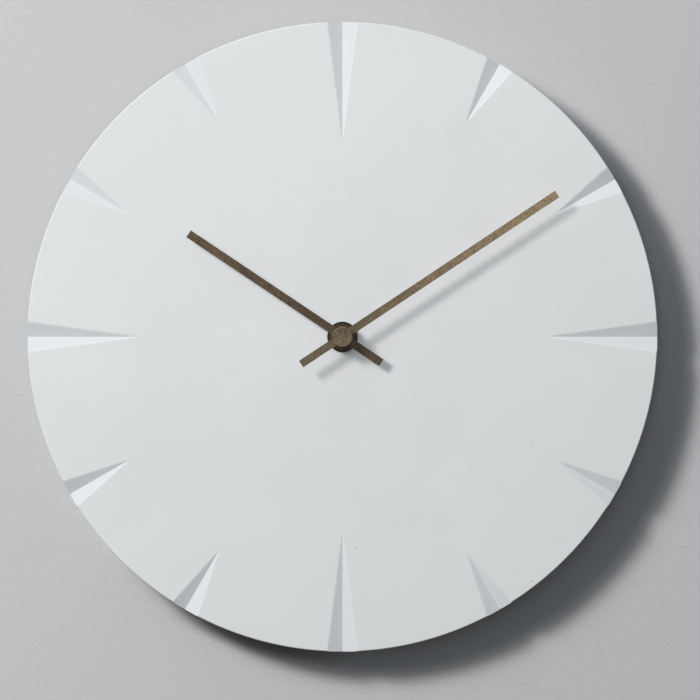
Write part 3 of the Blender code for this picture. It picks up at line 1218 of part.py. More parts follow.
def build_electronics(materials, clock):
    """Circuit board on its two posts, with the chip under its drop of resin and the crystal's can."""
    foot = BOARD_MIDDLE - BOARD_HEIGHT / 2
    top = BOARD_MIDDLE + BOARD_HEIGHT / 2
    board = box_outline(-BOARD_SIDE, BOARD_SIDE, foot, top)
    add_piece("circuit_board", prism(board, BOARD_BACK, BOARD_FRONT), materials["board"], clock)
    chip_back = BOARD_FRONT + SEAT_GAP
    radius = CHIP_DIAMETER / 2
    drop = [(0.0, chip_back), (radius, chip_back)]
    for step in range(1, CORNER_STEPS):
        lean = math.pi / 2 * step / CORNER_STEPS
        drop.append((radius * math.cos(lean), chip_back + CHIP_HEIGHT * math.sin(lean)))
    drop.append((0.0, chip_back + CHIP_HEIGHT))
    chip = moved(turned(drop, SMALL_STEPS), (CHIP_PLACE_SHARE * BOARD_SIDE, BOARD_MIDDLE))
    add_piece("chip_cap", chip, materials["chip"], clock)
    half = CRYSTAL_LENGTH / 2
    can = [(0.0, -half), (CRYSTAL_DIAMETER / 2, -half), (CRYSTAL_DIAMETER / 2, half), (0.0, half)]
    crystal = turned(can, SMALL_STEPS)
    depth = BOARD_FRONT + SEAT_GAP + CRYSTAL_DIAMETER / 2
    place = Matrix.Translation((CRYSTAL_PLACE_SHARE * BOARD_SIDE, BOARD_MIDDLE, depth))
    bmesh.ops.transform(crystal, matrix=place @ Matrix.Rotation(math.pi / 2, 4, "X"), verts=crystal.verts)
    add_piece("crystal", crystal, materials["steel"], clock)


def build_contact(name, side, materials, clock):
    """Spring strip from an end of the battery, up the side wall and in to the circuit board."""
    outer = INNER_SIDE - SEAT_GAP
    inner = outer - CONTACT_SHEET
    tab_back = BOARD_FRONT + SEAT_GAP
    front = BATTERY_DEPTH + CONTACT_WIDTH / 2
    foot = BATTERY_MIDDLE - BATTERY_DIAMETER / 4
    top = BOARD_MIDDLE + CONTACT_WIDTH / 2
    strip = box_outline(*sorted((side * inner, side * outer)), foot, top)
    contact = add_piece(name, prism(strip, tab_back, front), materials["steel"], clock)
    tab = box_outline(
        *sorted((side * (inner - CONTACT_TAB_LENGTH), side * (outer - CONTACT_SHEET / 2))),
        BOARD_MIDDLE - CONTACT_WIDTH / 2,
        top,
    )
    join(contact, f"{name}_tab", prism(tab, tab_back, tab_back + CONTACT_SHEET))
    reach = CONTACT_ROOM - 2 * SEAT_GAP
    radius = CONTACT_DIMPLE_DIAMETER / 2
    dimple = turned([(0.0, 0.0), (radius, 0.0), (radius / 2, reach), (0.0, reach)], PIVOT_STEPS)
    turn = Matrix.Rotation(-side * math.pi / 2, 4, "Y")
    place = Matrix.Translation((side * (outer - CONTACT_SHEET / 4), BATTERY_MIDDLE, BATTERY_DEPTH))
    bmesh.ops.transform(dimple, matrix=place @ turn, verts=dimple.verts)
    join(contact, f"{name}_dimple", dimple)


def build_battery(materials, clock):
    """Round cell lying across the foot of the case, with its nub to the right."""
    half = BATTERY_LENGTH / 2
    radius = BATTERY_DIAMETER / 2
    shoulder = half - BATTERY_NUB_LENGTH
    nub = BATTERY_NUB_DIAMETER / 2
    profile = [(0.0, -half), (radius - BATTERY_EDGE, -half), (radius, BATTERY_EDGE - half)]
    profile += [(radius, shoulder - BATTERY_EDGE), (radius - BATTERY_EDGE, shoulder)]
    profile += [(nub, shoulder), (nub, half), (0.0, half)]
    bm = turned(profile, MEDIUM_STEPS)
    place = Matrix.Translation((0.0, BATTERY_MIDDLE, BATTERY_DEPTH))
    bmesh.ops.transform(bm, matrix=place @ Matrix.Rotation(math.pi / 2, 4, "Y"), verts=bm.verts)
    add_piece("battery", bm, materials["jacket"], clock)


def main():
    """Builds the clock, hung by its keyhole at the origin."""
    clear_scene()
    materials = make_materials()
    clock = add_empty("hands_axis", None, (0.0, 0.0, -HANG_RISE))
    clock.rotation_euler = (math.pi / 2, 0.0, 0.0)
    build_dial(materials, clock)
    build_hanger(materials, clock)
    build_hanger_screws(materials, clock)
    build_anchors(materials, clock)
    build_case_front(materials, clock)
    build_back_cover(materials, clock)
    build_gasket(materials, clock)
    build_fixing(materials, clock)
    build_train_plates(materials, clock)
    build_going_train(materials, clock)
    build_hands(materials, clock)
    build_motor(materials, clock)
    build_electronics(materials, clock)
    build_contact("positive_contact", 1, materials, clock)
    build_contact("negative_contact", -1, materials, clock)
    build_battery(materials, clock)


main()
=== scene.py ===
"""Round concrete wall clock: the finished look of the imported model, laid out as an add-on.

World Z is up and the dial faces -Y. The wall is at Y zero, so whatever stands nearer to the reader has a
lower Y. Every size is in metres, except where a docstring says millimetres.
"""

import math
from contextlib import contextmanager

import bmesh
import bpy
from bpy.props import FloatProperty, FloatVectorProperty, IntProperty, PointerProperty
from bpy.types import Operator, Panel, PropertyGroup
from mathutils import Matrix, Vector


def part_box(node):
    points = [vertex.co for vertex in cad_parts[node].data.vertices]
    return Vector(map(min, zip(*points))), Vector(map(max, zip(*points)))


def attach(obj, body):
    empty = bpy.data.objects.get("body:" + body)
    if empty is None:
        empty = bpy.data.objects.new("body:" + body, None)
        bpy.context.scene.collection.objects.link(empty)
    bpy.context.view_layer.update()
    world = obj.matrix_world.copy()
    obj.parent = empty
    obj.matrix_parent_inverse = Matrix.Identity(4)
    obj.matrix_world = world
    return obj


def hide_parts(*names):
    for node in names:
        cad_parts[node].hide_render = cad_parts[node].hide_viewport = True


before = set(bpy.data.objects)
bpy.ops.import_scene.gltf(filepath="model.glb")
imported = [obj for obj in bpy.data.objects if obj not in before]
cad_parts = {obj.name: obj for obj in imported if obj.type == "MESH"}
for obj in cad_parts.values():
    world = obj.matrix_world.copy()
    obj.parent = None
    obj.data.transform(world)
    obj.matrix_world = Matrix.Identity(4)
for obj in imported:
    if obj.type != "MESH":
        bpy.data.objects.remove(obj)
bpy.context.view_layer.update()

bl_info = {
    "name": "Concrete wall clock",
    "version": (1, 0, 0),
    "blender": (4, 5, 0),
    "location": "View3D > Sidebar > Clock",
    "description": "Builds a concrete wall clock with its battery movement around a packed model",
    "category": "Object",
}

MM = 0.001
DIAL_LOW, DIAL_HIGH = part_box("concrete_dial")
HUB = Vector((0.0, 0.0, (DIAL_LOW.z + DIAL_HIGH.z) / 2))
ORIGIN = Vector((0.0, 0.0, 0.0))
FACE = DIAL_LOW.y
OVERRUN = 1.0 * MM
CLEARANCE = 0.3 * MM
BUSHING_HOLE = 4.3 * MM
FACING_READER = (math.pi / 2, 0.0, 0.0)
BLACK = (0.0, 0.0, 0.0, 1.0)
WHITE = (1.0, 1.0, 1.0)
SMOOTH_ANGLE = math.radians(32.0)


def depth_of(node):
    """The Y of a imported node's back, towards the wall, and of its front, towards the reader."""
    low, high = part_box(node)
    return high.y, low.y


def middle_of(node):
    """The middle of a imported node's box."""
    low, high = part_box(node)
    return (low + high) / 2


def size_of(node):
    """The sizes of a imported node's box."""
    low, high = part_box(node)
    return high - low


# Settings


def length(name, description, millimetres):
    """A length that the user can change, its default in millimetres."""
    return FloatProperty(
        name=name, description=description, default=millimetres * MM, min=0.0, unit="LENGTH", precision=5
    )


def angle(name, description, degrees):
    """An angle that the user can change, its default in degrees."""
    return FloatProperty(name=name, description=description, default=math.radians(degrees), subtype="ANGLE")


def number(name, description, default, highest=1000.0):
    """A power, a strength or a share that the user can change."""
    return FloatProperty(name=name, description=description, default=default, min=0.0, max=highest)


def colour(name, description, default):
    """A colour that the user can change."""
    return FloatVectorProperty(
        name=name, description=description, default=default, size=3, min=0.0, max=1.0, subtype="COLOR"
    )


class ClockDialSettings(PropertyGroup):
    """Sizes and colours of the cast disc."""

    diameter: length("Diameter", "Across the disc", 299.9)
    rim_rounding: length("Rim rounding", "Between face and rim", 0.6)
    back_chamfer: length("Back chamfer", "Between rim and back", 1.2)
    upright_notch: length("Upright notch", "Length of the notches at 12 and 6", 58.0)
    level_notch: length("Level notch", "Length of the notches at 3 and 9", 54.0)
    short_notch: length("Short notch", "Length of the other notches", 33.0)
    long_width: length("Long notch width", "Across the long notches at the rim", 14.6)
    short_width: length("Short notch width", "Across the short notches at the rim", 14.0)
    notch_depth: length("Notch depth", "Depth of every notch at the rim", 2.4)
    notch_rounding: length("Notch rounding", "Width of the worn edge of a notch", 0.35)
    face_colour: colour("Face colour", "Pale concrete of the face", (0.785, 0.800, 0.812))
    patch_colour: colour("Patch colour", "Slightly darker clouds in the concrete", (0.764, 0.779, 0.792))
    # Painted shade inside the air holes; the same colour also darkens the fine sand grains.
    pore_colour: colour("Pore colour", "Inside the small air holes", (0.46, 0.47, 0.48))
    # Painted shade: the share of the face's colour kept in the notches, and on every surface behind the face.
    notch_painted_shade: colour("Notch tint", "Share of the face's colour kept in the notches", (0.942, 0.945, 0.952))


class ClockHandSettings(PropertyGroup):
    """Sizes and colours of the hands and their cap."""

    hour_width: length("Hour width", "Across the hour hand", 3.9)
    hour_reach: length("Hour reach", "From the hub to the hour hand's tip", 88.0)
    hour_tail: length("Hour tail", "From the hub to its other end", 22.2)
    hour_boss: length("Hour boss", "Diameter of its round middle", 12.8)
    minute_width: length("Minute width", "Across the minute hand", 3.7)
    minute_reach: length("Minute reach", "From the hub to the minute hand's tip", 122.3)
    minute_tail: length("Minute tail", "From the hub to its other end", 23.5)
    minute_boss: length("Minute boss", "Diameter of its round middle", 9.0)
    edge_rounding: length("Edge rounding", "Rounding of the stamped sheet's edges", 0.12)
    hour_reading: angle("Hour reading", "Clockwise from twelve", 303.8)
    minute_reading: angle("Minute reading", "Clockwise from twelve", 56.4)
    dark_bronze: colour("Dark bronze", "Darker grains of the bronze paint", (0.066, 0.044, 0.025))
    light_bronze: colour("Light bronze", "Lighter grains of the bronze paint", (0.224, 0.171, 0.103))
    # Darker bronze on the hour hand's boss than on the strip.
    boss_bronze: colour("Boss bronze", "Thin dark paint on the hour hand's boss", (0.057, 0.034, 0.014))
    # Painted light: the hour hand's warmer, duller reflection.
    hour_painted_reflection_tint: colour("Hour tint", "Share of the bronze colours kept on the hour hand", (0.98, 0.90, 0.87))


class ClockMovementSettings(PropertyGroup):
    """Sizes and colours of the movement's housing, knob and battery."""

    rib_count: IntProperty(name="Ribs", description="Grip ribs round the set knob", default=24)
    housing_colour: colour("Housing colour", "Black moulded plastic", (0.028, 0.028, 0.030))
    wheel_colour: colour("Wheel colour", "White moulded plastic of wheels and knob", (0.78, 0.78, 0.74))
    jacket_colour: colour("Jacket colour", "Plain foil round the battery", (0.16, 0.19, 0.24))


class ClockHangerSettings(PropertyGroup):
    """Sizes and colours of the keyhole plate."""

    corner: length("Corner", "Radius of the plate's corners", 3.0)
    entry_diameter: length("Entry diameter", "Hole for the nail's head", 9.4)
    slot_width: length("Slot width", "Slot for the nail's shank", 4.6)
    travel: length("Travel", "From the nail's entry to its seat", 7.5)
    screw_head: length("Screw head", "Diameter of a screw's head", 5.8)
    zinc_colour: colour("Zinc colour", "Zinc-plated steel", (0.60, 0.61, 0.62))


class ClockStageSettings(PropertyGroup):
    """Camera, lights, wall and floor."""

    camera_distance: length("Camera distance", "To the dial's face", 2500.0)
    camera_right: length("Camera right", "How far right of the hub it stands", 3.6)
    camera_drop: length("Camera drop", "How far below the hub it stands", 6.3)
    lens: number("Lens", "Focal length in millimetres", 270.1)
    key_distance: length("Key distance", "From the lamp to the hub", 2400.0)
    key_size: length("Key size", "Diameter of the lamp", 460.0)
    key_zenith: angle("Key zenith", "Angle off the dial's axis", 48.0)
    key_direction: angle("Key direction", "Angle round the dial, from the right", 143.8)
    key_power: number("Key power", "Power in watts", 24.5)
    halo_size: length("Halo size", "Diameter of the soft halo round the key lamp", 1100.0)
    halo_power: number("Halo power", "Power in watts", 16.5)
    panel_distance: length("Panel distance", "From the soft panel to the hub", 1500.0)
    panel_size: length("Panel size", "Diameter of the panel", 1800.0)
    panel_zenith: angle("Panel zenith", "Angle off the dial's axis", 30.0)
    panel_direction: angle("Panel direction", "Angle round the dial, from the right", 106.0)
    panel_power: number("Panel power", "Power in watts", 10.2)
    rear_power: number("Rear power", "Power of each lamp behind the wall in watts", 46.0)
    ambient: number("Ambient", "Strength of the light from all round", 0.127)
    ambient_lean: number("Ambient lean", "How much more of that light comes from above", 0.9, 1.0)
    # The next three settings paint shade and shadow onto the wall near the rim.
    wall_painted_shade: number("Rim fade", "How much duller the wall is beside the lit part of the rim", 0.31, 1.0)
    rim_painted_shadow: number("Rim shade", "How dark the wall is close to the rim, on the shadow's side", 0.85, 1.0)
    foot_painted_shadow: number("Foot shade", "How dark the wall is close to the rim between six and seven", 0.5, 1.0)
    wall_colour: colour("Wall colour", "Matt wall behind the clock", (0.865, 0.875, 0.897))
    floor_colour: colour("Floor colour", "Plain pale floor", (0.72, 0.72, 0.72))


# Modelling steps


def deselect_all():
    """Leaves nothing selected."""
    bpy.ops.object.select_all(action="DESELECT")


def select_only(piece, *others):
    """Selects these pieces, the first of them active."""
    deselect_all()
    for each in (piece, *others):
        each.select_set(True)
    bpy.context.view_layer.objects.active = piece


@contextmanager
def editing(piece, kind, action="SELECT"):
    """Edit mode on one piece, with all or nothing of it selected."""
    select_only(piece)
    bpy.ops.object.mode_set(mode="EDIT")
    bpy.ops.mesh.select_mode(type=kind)
    bpy.ops.mesh.select_all(action=action)
    yield
    bpy.ops.object.mode_set(mode="OBJECT")


def face_outwards():
    """Turns every face outwards, in edit mode."""
    bpy.ops.mesh.select_all(action="SELECT")
    bpy.ops.mesh.normals_make_consistent(inside=False)


def round_edges(piece, wanted, radius, segments):
    """Rounds the edges of a piece that a test picks."""
    with editing(piece, "EDGE", "DESELECT"):
        shape = bmesh.from_edit_mesh(piece.data)
        for edge in shape.edges:
            edge.select_set(wanted(edge))
        bmesh.update_edit_mesh(piece.data)
        bpy.ops.mesh.bevel(offset=radius, segments=segments, profile=0.5, affect="EDGES")
    return piece


def taken(name):
    """Names the new piece and puts its place, turn and scale into its mesh."""
    piece = bpy.context.active_object
    piece.name = piece.data.name = name
    select_only(piece)
    bpy.ops.object.transform_apply(location=True, rotation=True, scale=True)
    return piece


def rod(name, radius, back, front, place=HUB, segments=96):
    """A round bar along Y."""
    deselect_all()
    middle = (place[0], (back + front) / 2, place[2])
    bpy.ops.mesh.primitive_cylinder_add(
        vertices=segments, radius=radius, depth=back - front, location=middle, rotation=FACING_READER
    )
    return taken(name)


def block(name, width, height, back, front, place):
    """A box round a place."""
    deselect_all()
    bpy.ops.mesh.primitive_cube_add(size=1.0, location=(place[0], (back + front) / 2, place[2]))
    bpy.context.active_object.scale = (width, back - front, height)
    return taken(name)


def rounded_block(name, width, height, back, front, place, radius, segments=8):
    """A box round a place, its four edges along Y rounded."""
    piece = block(name, width, height, back, front, place)

    def along_y(edge):
        return abs(edge.verts[0].co.y - edge.verts[1].co.y) > (back - front) / 2

    return round_edges(piece, along_y, radius, segments)


def quarter_round(radius, front, rounding, steps):
    """The profile of a rounding between a turned shape's side and its front."""
    points = []
    for lean in (math.pi / 2 * step / steps for step in range(steps + 1)):
        points.append((radius - rounding * (1 - math.cos(lean)), front + rounding * (1 - math.sin(lean))))
    return points


def turned(name, profile, segments, place=HUB, ring=False):
    """Turns a profile of radius and Y round an axis along Y: a circle, extruded and resized by its points."""
    radius, depth = profile[0]
    deselect_all()
    fill, middle = "NOTHING" if ring else "NGON", (place[0], depth, place[2])
    bpy.ops.mesh.primitive_circle_add(
        vertices=segments, radius=radius, fill_type=fill, location=middle, rotation=FACING_READER
    )
    piece = taken(name)
    with editing(piece, "EDGE"):
        if not ring:
            bpy.ops.mesh.region_to_loop()
        for next_radius, next_depth in profile[1:] + (profile[:1] if ring else []):
            move = {"value": (0.0, next_depth - depth, 0.0), "orient_type": "GLOBAL"}
            bpy.ops.mesh.extrude_edges_move(TRANSFORM_OT_translate=move)
            scale, centre = next_radius / radius, (place[0], next_depth, place[2])
            bpy.ops.transform.resize(value=(scale, 1.0, scale), orient_type="GLOBAL", center_override=centre)
            radius, depth = next_radius, next_depth
        if ring:
            bpy.ops.mesh.select_all(action="SELECT")
            bpy.ops.mesh.remove_doubles(threshold=0.001 * MM)
        else:
            bpy.ops.mesh.edge_face_add()
        face_outwards()
    return piece


def lofted(name, rings):
    """A closed shape through rings of points: the first ring is drawn, then extruded from ring to ring."""
    deselect_all()
    bpy.ops.mesh.primitive_circle_add(vertices=len(rings[0]), radius=1.0, fill_type="NGON")
    piece = taken(name)
    with editing(piece, "EDGE"):
        shape = bmesh.from_edit_mesh(piece.data)
        for vert, point in zip(shape.verts, rings[0]):
            vert.co = point
        bmesh.update_edit_mesh(piece.data)
        bpy.ops.mesh.region_to_loop()
        for ring, next_ring in zip(rings, rings[1:]):
            bpy.ops.mesh.extrude_edges_move()
            shape = bmesh.from_edit_mesh(piece.data)
            for vert in [vert for vert in shape.verts if vert.select]:
                nearest = min(range(len(ring)), key=lambda index: (ring[index] - vert.co).length_squared)
                vert.co = next_ring[nearest]
            bmesh.update_edit_mesh(piece.data)
        bpy.ops.mesh.edge_face_add()
        face_outwards()
    return piece


def copied(piece, name, matrix):
    """A copy with its own mesh, moved by a matrix."""
    copy = bpy.data.objects.new(name, piece.data.copy())
    copy.data.name = name
    bpy.context.scene.collection.objects.link(copy)
    copy.data.transform(matrix)
    return copy


def about_axis(turn, place=HUB):
    """A turn about an axis along Y, clockwise as the reader sees it."""
    to_place = Matrix.Translation(Vector((place[0], 0.0, place[2])))
    return to_place @ Matrix.Rotation(turn, 4, "Y") @ to_place.inverted()


def joined(name, pieces):
    """Several shapes as one object."""
    select_only(*pieces)
    bpy.ops.object.join()
    return taken(name)


def merge_points(piece):
    """Merges the points of a piece that lie together, and drops edges and faces of no size."""
    with editing(piece, "VERT"):
        bpy.ops.mesh.remove_doubles(threshold=0.002 * MM)
        bpy.ops.mesh.dissolve_degenerate(threshold=0.001 * MM)
    return piece


def modified(piece, kind, **settings):
    """Adds a modifier to a piece and applies it."""
    modifier = piece.modifiers.new(kind, kind)
    for name, value in settings.items():
        setattr(modifier, name, value)
    select_only(piece)
    bpy.ops.object.modifier_apply(modifier=modifier.name)
    return piece


def carve(piece, *tools, operation="DIFFERENCE"):
    """Cuts shapes from a piece or joins them to it, one after the other, and removes them."""
    for tool in tools:
        modified(piece, "BOOLEAN", operation=operation, solver="EXACT", object=tool)
        bpy.data.objects.remove(tool, do_unlink=True)
        merge_points(piece)
    return piece


def soften(piece, width, segments=2):
    """Rounds the edges of a piece."""
    sharp = {"limit_method": "ANGLE", "angle_limit": SMOOTH_ANGLE, "use_clamp_overlap": True}
    return merge_points(modified(piece, "BEVEL", width=width, segments=segments, **sharp))


def refined(node, name, width, segments=2):
    """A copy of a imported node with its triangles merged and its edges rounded."""
    copy = copied(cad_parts[node], name, Matrix())
    with editing(copy, "VERT"):
        bpy.ops.mesh.remove_doubles(threshold=0.002 * MM)
        bpy.ops.mesh.dissolve_limited(angle_limit=math.radians(0.5))
        face_outwards()
    attributes = copy.data.attributes
    if "custom_normal" in attributes:
        attributes.remove(attributes["custom_normal"])
    return soften(copy, width, segments)


def dress(piece, finish, body, slot, *nodes):
    """Gives a finished piece its shading, its material and the body that it rides on, and hides the imported
    nodes that it stands in for.
    """
    select_only(piece)
    bpy.ops.object.shade_smooth_by_angle(angle=SMOOTH_ANGLE)
    modified(piece, "WEIGHTED_NORMAL", keep_sharp=True, weight=100)
    piece.data.materials.clear()
    piece.data.materials.append(finish)
    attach(piece, body)
    if nodes:
        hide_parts(*nodes)
    return piece


def repaint(finish, *nodes):
    """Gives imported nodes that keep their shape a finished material."""
    for node in nodes:
        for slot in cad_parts[node].material_slots:
            slot.material = finish


# Finishes


class Nodes:
    """Adds shader nodes to a tree; an input is a number, a colour or another node's output."""

    def __init__(self, tree):
        self.tree = tree

    def give(self, socket, value):
        """Links another node's output to a socket, or sets the socket to a value."""
        if isinstance(value, bpy.types.NodeSocket):
            self.tree.links.new(value, socket)
        else:
            socket.default_value = value

    def put(self, kind, inputs=None, output=0, **settings):
        """Adds a node and returns one of its outputs."""
        node = self.tree.nodes.new(f"ShaderNode{kind}")
        for name, value in settings.items():
            setattr(node, name, value)
        for name, value in (inputs or {}).items():
            self.give(node.inputs[name], value)
        return node.outputs[output]

    def calc(self, operation, first, second=0.0):
        """Two values put together."""
        return self.put("Math", {0: first, 1: second}, operation=operation)

    def vector(self, operation, first, second=ORIGIN, output="Vector"):
        """Two vectors put together."""
        return self.put("VectorMath", {0: first, 1: second}, output, operation=operation)

    def both(self, first, second, share):
        """Two patterns added up, the first by a share and the second by the rest."""
        first, second = self.calc("MULTIPLY", first, share), self.calc("MULTIPLY", second, 1 - share)
        return self.calc("ADD", first, second)

    def levels(self, value, low, high, to_low=0.0, to_high=1.0):
        """A value remapped from one range to another and kept inside it."""
        inputs = {"Value": value, "From Min": low, "From Max": high, "To Min": to_low, "To Max": to_high}
        return self.put("MapRange", inputs)

    def mix(self, share, first, second, blend="MIX"):
        """Two colours mixed by a share."""
        inputs = {0: share, 6: first, 7: second}
        return self.put("Mix", inputs, 2, data_type="RGBA", blend_type=blend)

    def mix_shaders(self, share, first, second, end):
        """Two shaders mixed by a share, as what the tree puts out at its end."""
        mixed = self.put("MixShader", {0: share, 1: first, 2: second})
        self.give(self.tree.nodes[end].inputs["Surface"], mixed)


class Finish(Nodes):
    """A material with patterns on the piece's own coordinates, their sizes and depths in millimetres."""

    def __init__(self, name, roughness, metallic=0.0, level=0.5):
        self.material = bpy.data.materials.new(name)
        self.material.use_nodes = True
        super().__init__(self.material.node_tree)
        self.shader = self.tree.nodes["Principled BSDF"]
        self.feed("Roughness", roughness)
        self.feed("Metallic", metallic)
        self.feed("Specular IOR Level", level)
        self.place = self.put("TexCoord", output="Object")

    def feed(self, name, value):
        """Gives the shader one of its inputs."""
        self.give(self.shader.inputs[name], value)

    def noise(self, size, detail=2.0, roughness=0.5, stretch=None):
        """Clouds whose patches are about a size across, stretched by a scale along each axis."""
        place = self.place
        if stretch:
            place = self.put("Mapping", {"Vector": place, "Scale": stretch})
        inputs = {"Vector": place, "Scale": 1.0 / (size * MM), "Detail": detail, "Roughness": roughness}
        return self.put("TexNoise", inputs)

    def tones(self, pattern, low, high, first, second):
        """One colour at a pattern's low and another at its high."""
        self.feed("Base Color", self.mix(self.levels(pattern, low, high), first, second))

    def roughen(self, pattern, first, second):
        """One roughness at a pattern's low and another at its high."""
        self.feed("Roughness", self.levels(pattern, 0.3, 0.7, first, second))

    def bump(self, height, depth, under=None):
        """Raises the surface by a height pattern, over another one."""
        inputs = {"Height": height, "Distance": depth * MM, "Strength": 1.0}
        if under is not None:
            inputs["Normal"] = under
        normal = self.put("Bump", inputs)
        self.feed("Normal", normal)
        return normal


def rgba(values, share=1.0):
    """A colour with its alpha, darker or lighter by a share."""
    return (*(min(1.0, value * share) for value in values), 1.0)


def concrete(settings, name, pore_share, pore_reach, grain, patchiness=1.0):
    """Fine cast concrete: soft clouds of tone, a fine grain and a few small air holes; the holes and the
    notches carry painted shade, and every other surface behind the face is darkened the same way.
    """
    cast = Finish(name, 0.85, level=0.25)
    pore = rgba(settings.pore_colour)
    mottle = cast.noise(9.0, 4.0, 0.6)
    clouds = cast.levels(cast.both(cast.noise(70.0, 3.0, 0.55), mottle, 0.75), 0.38, 0.62)
    body = cast.mix(clouds, rgba(settings.patch_colour, patchiness), rgba(settings.face_colour))
    sand = cast.noise(0.5, 2.0, 0.6)
    body = cast.mix(cast.levels(sand, 0.62, 0.76, 0.0, 0.10), body, pore)
    # Painted shade: the air holes picked below are filled with the dark pore colour; the line above uses the
    # same colour for a few dark sand grains.
    cells = cast.put("TexVoronoi", {"Vector": cast.place, "Scale": 1.0 / (6.0 * MM)})
    chosen = cast.put("SeparateColor", {"Color": cells.node.outputs["Color"]})
    chosen = cast.levels(chosen, pore_share, pore_share + 0.001, 1.0, 0.0)
    holes = cast.calc("MULTIPLY", cast.levels(cells, 0.6 * pore_reach, pore_reach, 1.0, 0.0), chosen)
    body = cast.mix(holes, body, pore)
    # Painted shade: the notches, and every other surface more than 0.4 mm behind the face, are darkened by
    # this tint.
    sunk = cast.put("SeparateXYZ", {"Vector": cast.place}, "Y")
    sunk = cast.levels(sunk, FACE + 0.02 * MM, FACE + 0.4 * MM)
    cast.feed("Base Color", cast.mix(sunk, body, rgba(settings.notch_painted_shade), "MULTIPLY"))
    cast.roughen(mottle, 0.78, 0.92)
    under = cast.bump(cast.noise(38.0, 1.0), 0.35)
    under = cast.bump(sand, grain, under)
    cast.bump(cast.calc("SUBTRACT", 1.0, holes), 0.25, under)
    return cast.material


def upright(paint, reading):
    """A place on a hand, turned back to twelve: how far off the middle line and how far from the hub."""
    turn = about_axis(reading).inverted()
    inputs = {"Vector": paint.place, "Location": turn @ ORIGIN - HUB, "Rotation": turn.to_euler()}
    parts = paint.put("SeparateXYZ", {"Vector": paint.put("Mapping", inputs)}).node.outputs
    return paint.calc("ABSOLUTE", parts["X"]), parts["Z"]


def bronze_paint(settings, name, near, far=None, reading=0.0, width=0.0, reach=0.0, tint=WHITE):
    """Bronze paint with fine light and dark grains.

    On a hand it goes from one strength at the hub to another at the tip, a painted sheen, and is darker along
    the edges and on whatever stands out beside the strip.
    """
    paint = Finish(name, 0.5, metallic=0.35, level=0.4)
    grain = paint.noise(0.48, 2.0, 0.75)
    tone = paint.levels(paint.both(grain, paint.noise(5.0), 0.85), 0.41, 0.61)
    dark, light, darker_boss_colour = settings.dark_bronze, settings.light_bronze, settings.boss_bronze
    coat = paint.mix(tone, rgba(dark, near), rgba(light, near))
    if far is not None:
        across, along = upright(paint, reading)
        edge = width / 2
        tip = paint.mix(tone, rgba(dark, far), rgba(light, far))
        # Painted sheen: the paint grows lighter from the hub towards the tip.
        coat = paint.mix(paint.levels(along, 0.08 * reach, 0.8 * reach), coat, tip)
        # Darker along both edges of the strip.
        coat = paint.mix(paint.levels(across, edge - 0.4 * MM, edge, 0.0, 0.4), coat, rgba(dark, near * 0.6))
        # Darker bronze on whatever stands out beside the strip, the hour hand's boss.
        boss = paint.mix(tone, rgba(darker_boss_colour, 0.6), rgba(darker_boss_colour, 1.4))
        coat = paint.mix(paint.levels(across, edge, edge + 0.05 * MM), coat, boss)
        # The tint multiplies the hand's colour; on the hour hand it is painted light, a warmer, duller
        # reflection than the minute hand's.
        coat = paint.mix(1.0, coat, rgba(tint), "MULTIPLY")
    paint.feed("Base Color", coat)
    paint.roughen(grain, 0.62, 0.42)
    paint.bump(grain, 0.03)
    return paint.material


def black_metal():
    """Black oxide with rubbed places."""
    metal = Finish("black metal", 0.4, metallic=0.6)
    rubbed = metal.noise(2.5, 3.0, 0.6)
    metal.tones(rubbed, 0.5, 0.75, rgba((0.012, 0.011, 0.010)), rgba((0.045, 0.040, 0.035)))
    metal.roughen(rubbed, 0.5, 0.32)
    metal.bump(metal.noise(0.2), 0.01)
    return metal.material


def turned_metal(name, tone, place, roughness=0.28):
    """Metal with the fine rings that a lathe leaves round an axis along Y."""
    metal = Finish(name, roughness, metallic=1.0)
    across = metal.vector("MULTIPLY", metal.vector("SUBTRACT", metal.place, place), (1.0, 0.0, 1.0))
    radius = metal.vector("LENGTH", across, output="Value")
    along = metal.calc("ADD", radius, metal.put("SeparateXYZ", {"Vector": metal.place}, "Y"))
    rings = metal.put("TexNoise", {"W": along, "Scale": 9000.0, "Detail": 2.0}, noise_dimensions="1D")
    wear = metal.noise(3.0, 3.0)
    metal.tones(wear, 0.35, 0.7, rgba(tone, 0.8), rgba(tone))
    metal.roughen(wear, roughness + 0.12, roughness)
    metal.bump(rings, 0.012)
    return metal.material


def zinc_steel(tone, name="zinc-plated steel", dull=0.45, metallic=0.6):
    """Zinc-plated sheet with faint rolling lines and spangles."""
    sheet = Finish(name, dull, metallic=metallic)
    spangle = sheet.put("TexVoronoi", {"Vector": sheet.place, "Scale": 1.0 / (1.6 * MM)})
    stain = sheet.noise(11.0)
    sheet.tones(sheet.both(spangle, stain, 0.5), 0.2, 0.6, rgba(tone, 0.92), rgba(tone, 1.06))
    sheet.roughen(stain, dull + 0.05, dull - 0.02)
    sheet.bump(sheet.noise(0.18, stretch=(0.05, 1.0, 1.0)), 0.008)
    return sheet.material


def moulded_plastic(tone, name, roughness, texture):
    """Moulded plastic with a spark-eroded grain and faint flow marks."""
    plastic = Finish(name, roughness)
    grain = plastic.noise(0.25, 2.0, 0.6)
    flow = plastic.noise(7.0, stretch=(1.0, 1.0, 0.35))
    plastic.tones(flow, 0.3, 0.7, rgba(tone, 0.9), rgba(tone, 1.06))
    plastic.roughen(grain, roughness + 0.07, roughness - 0.05)
    plastic.bump(grain, texture)
    return plastic.material


def rubber():
    """Black rubber sheet with talc in its grain."""
    sheet = Finish("black rubber", 0.8, level=0.3)
    sheet.tones(sheet.noise(1.2, 4.0, 0.7), 0.45, 0.8, rgba((0.02,) * 3), rgba((0.07,) * 3))
    sheet.bump(sheet.noise(0.3, 3.0), 0.04)
    return sheet.material


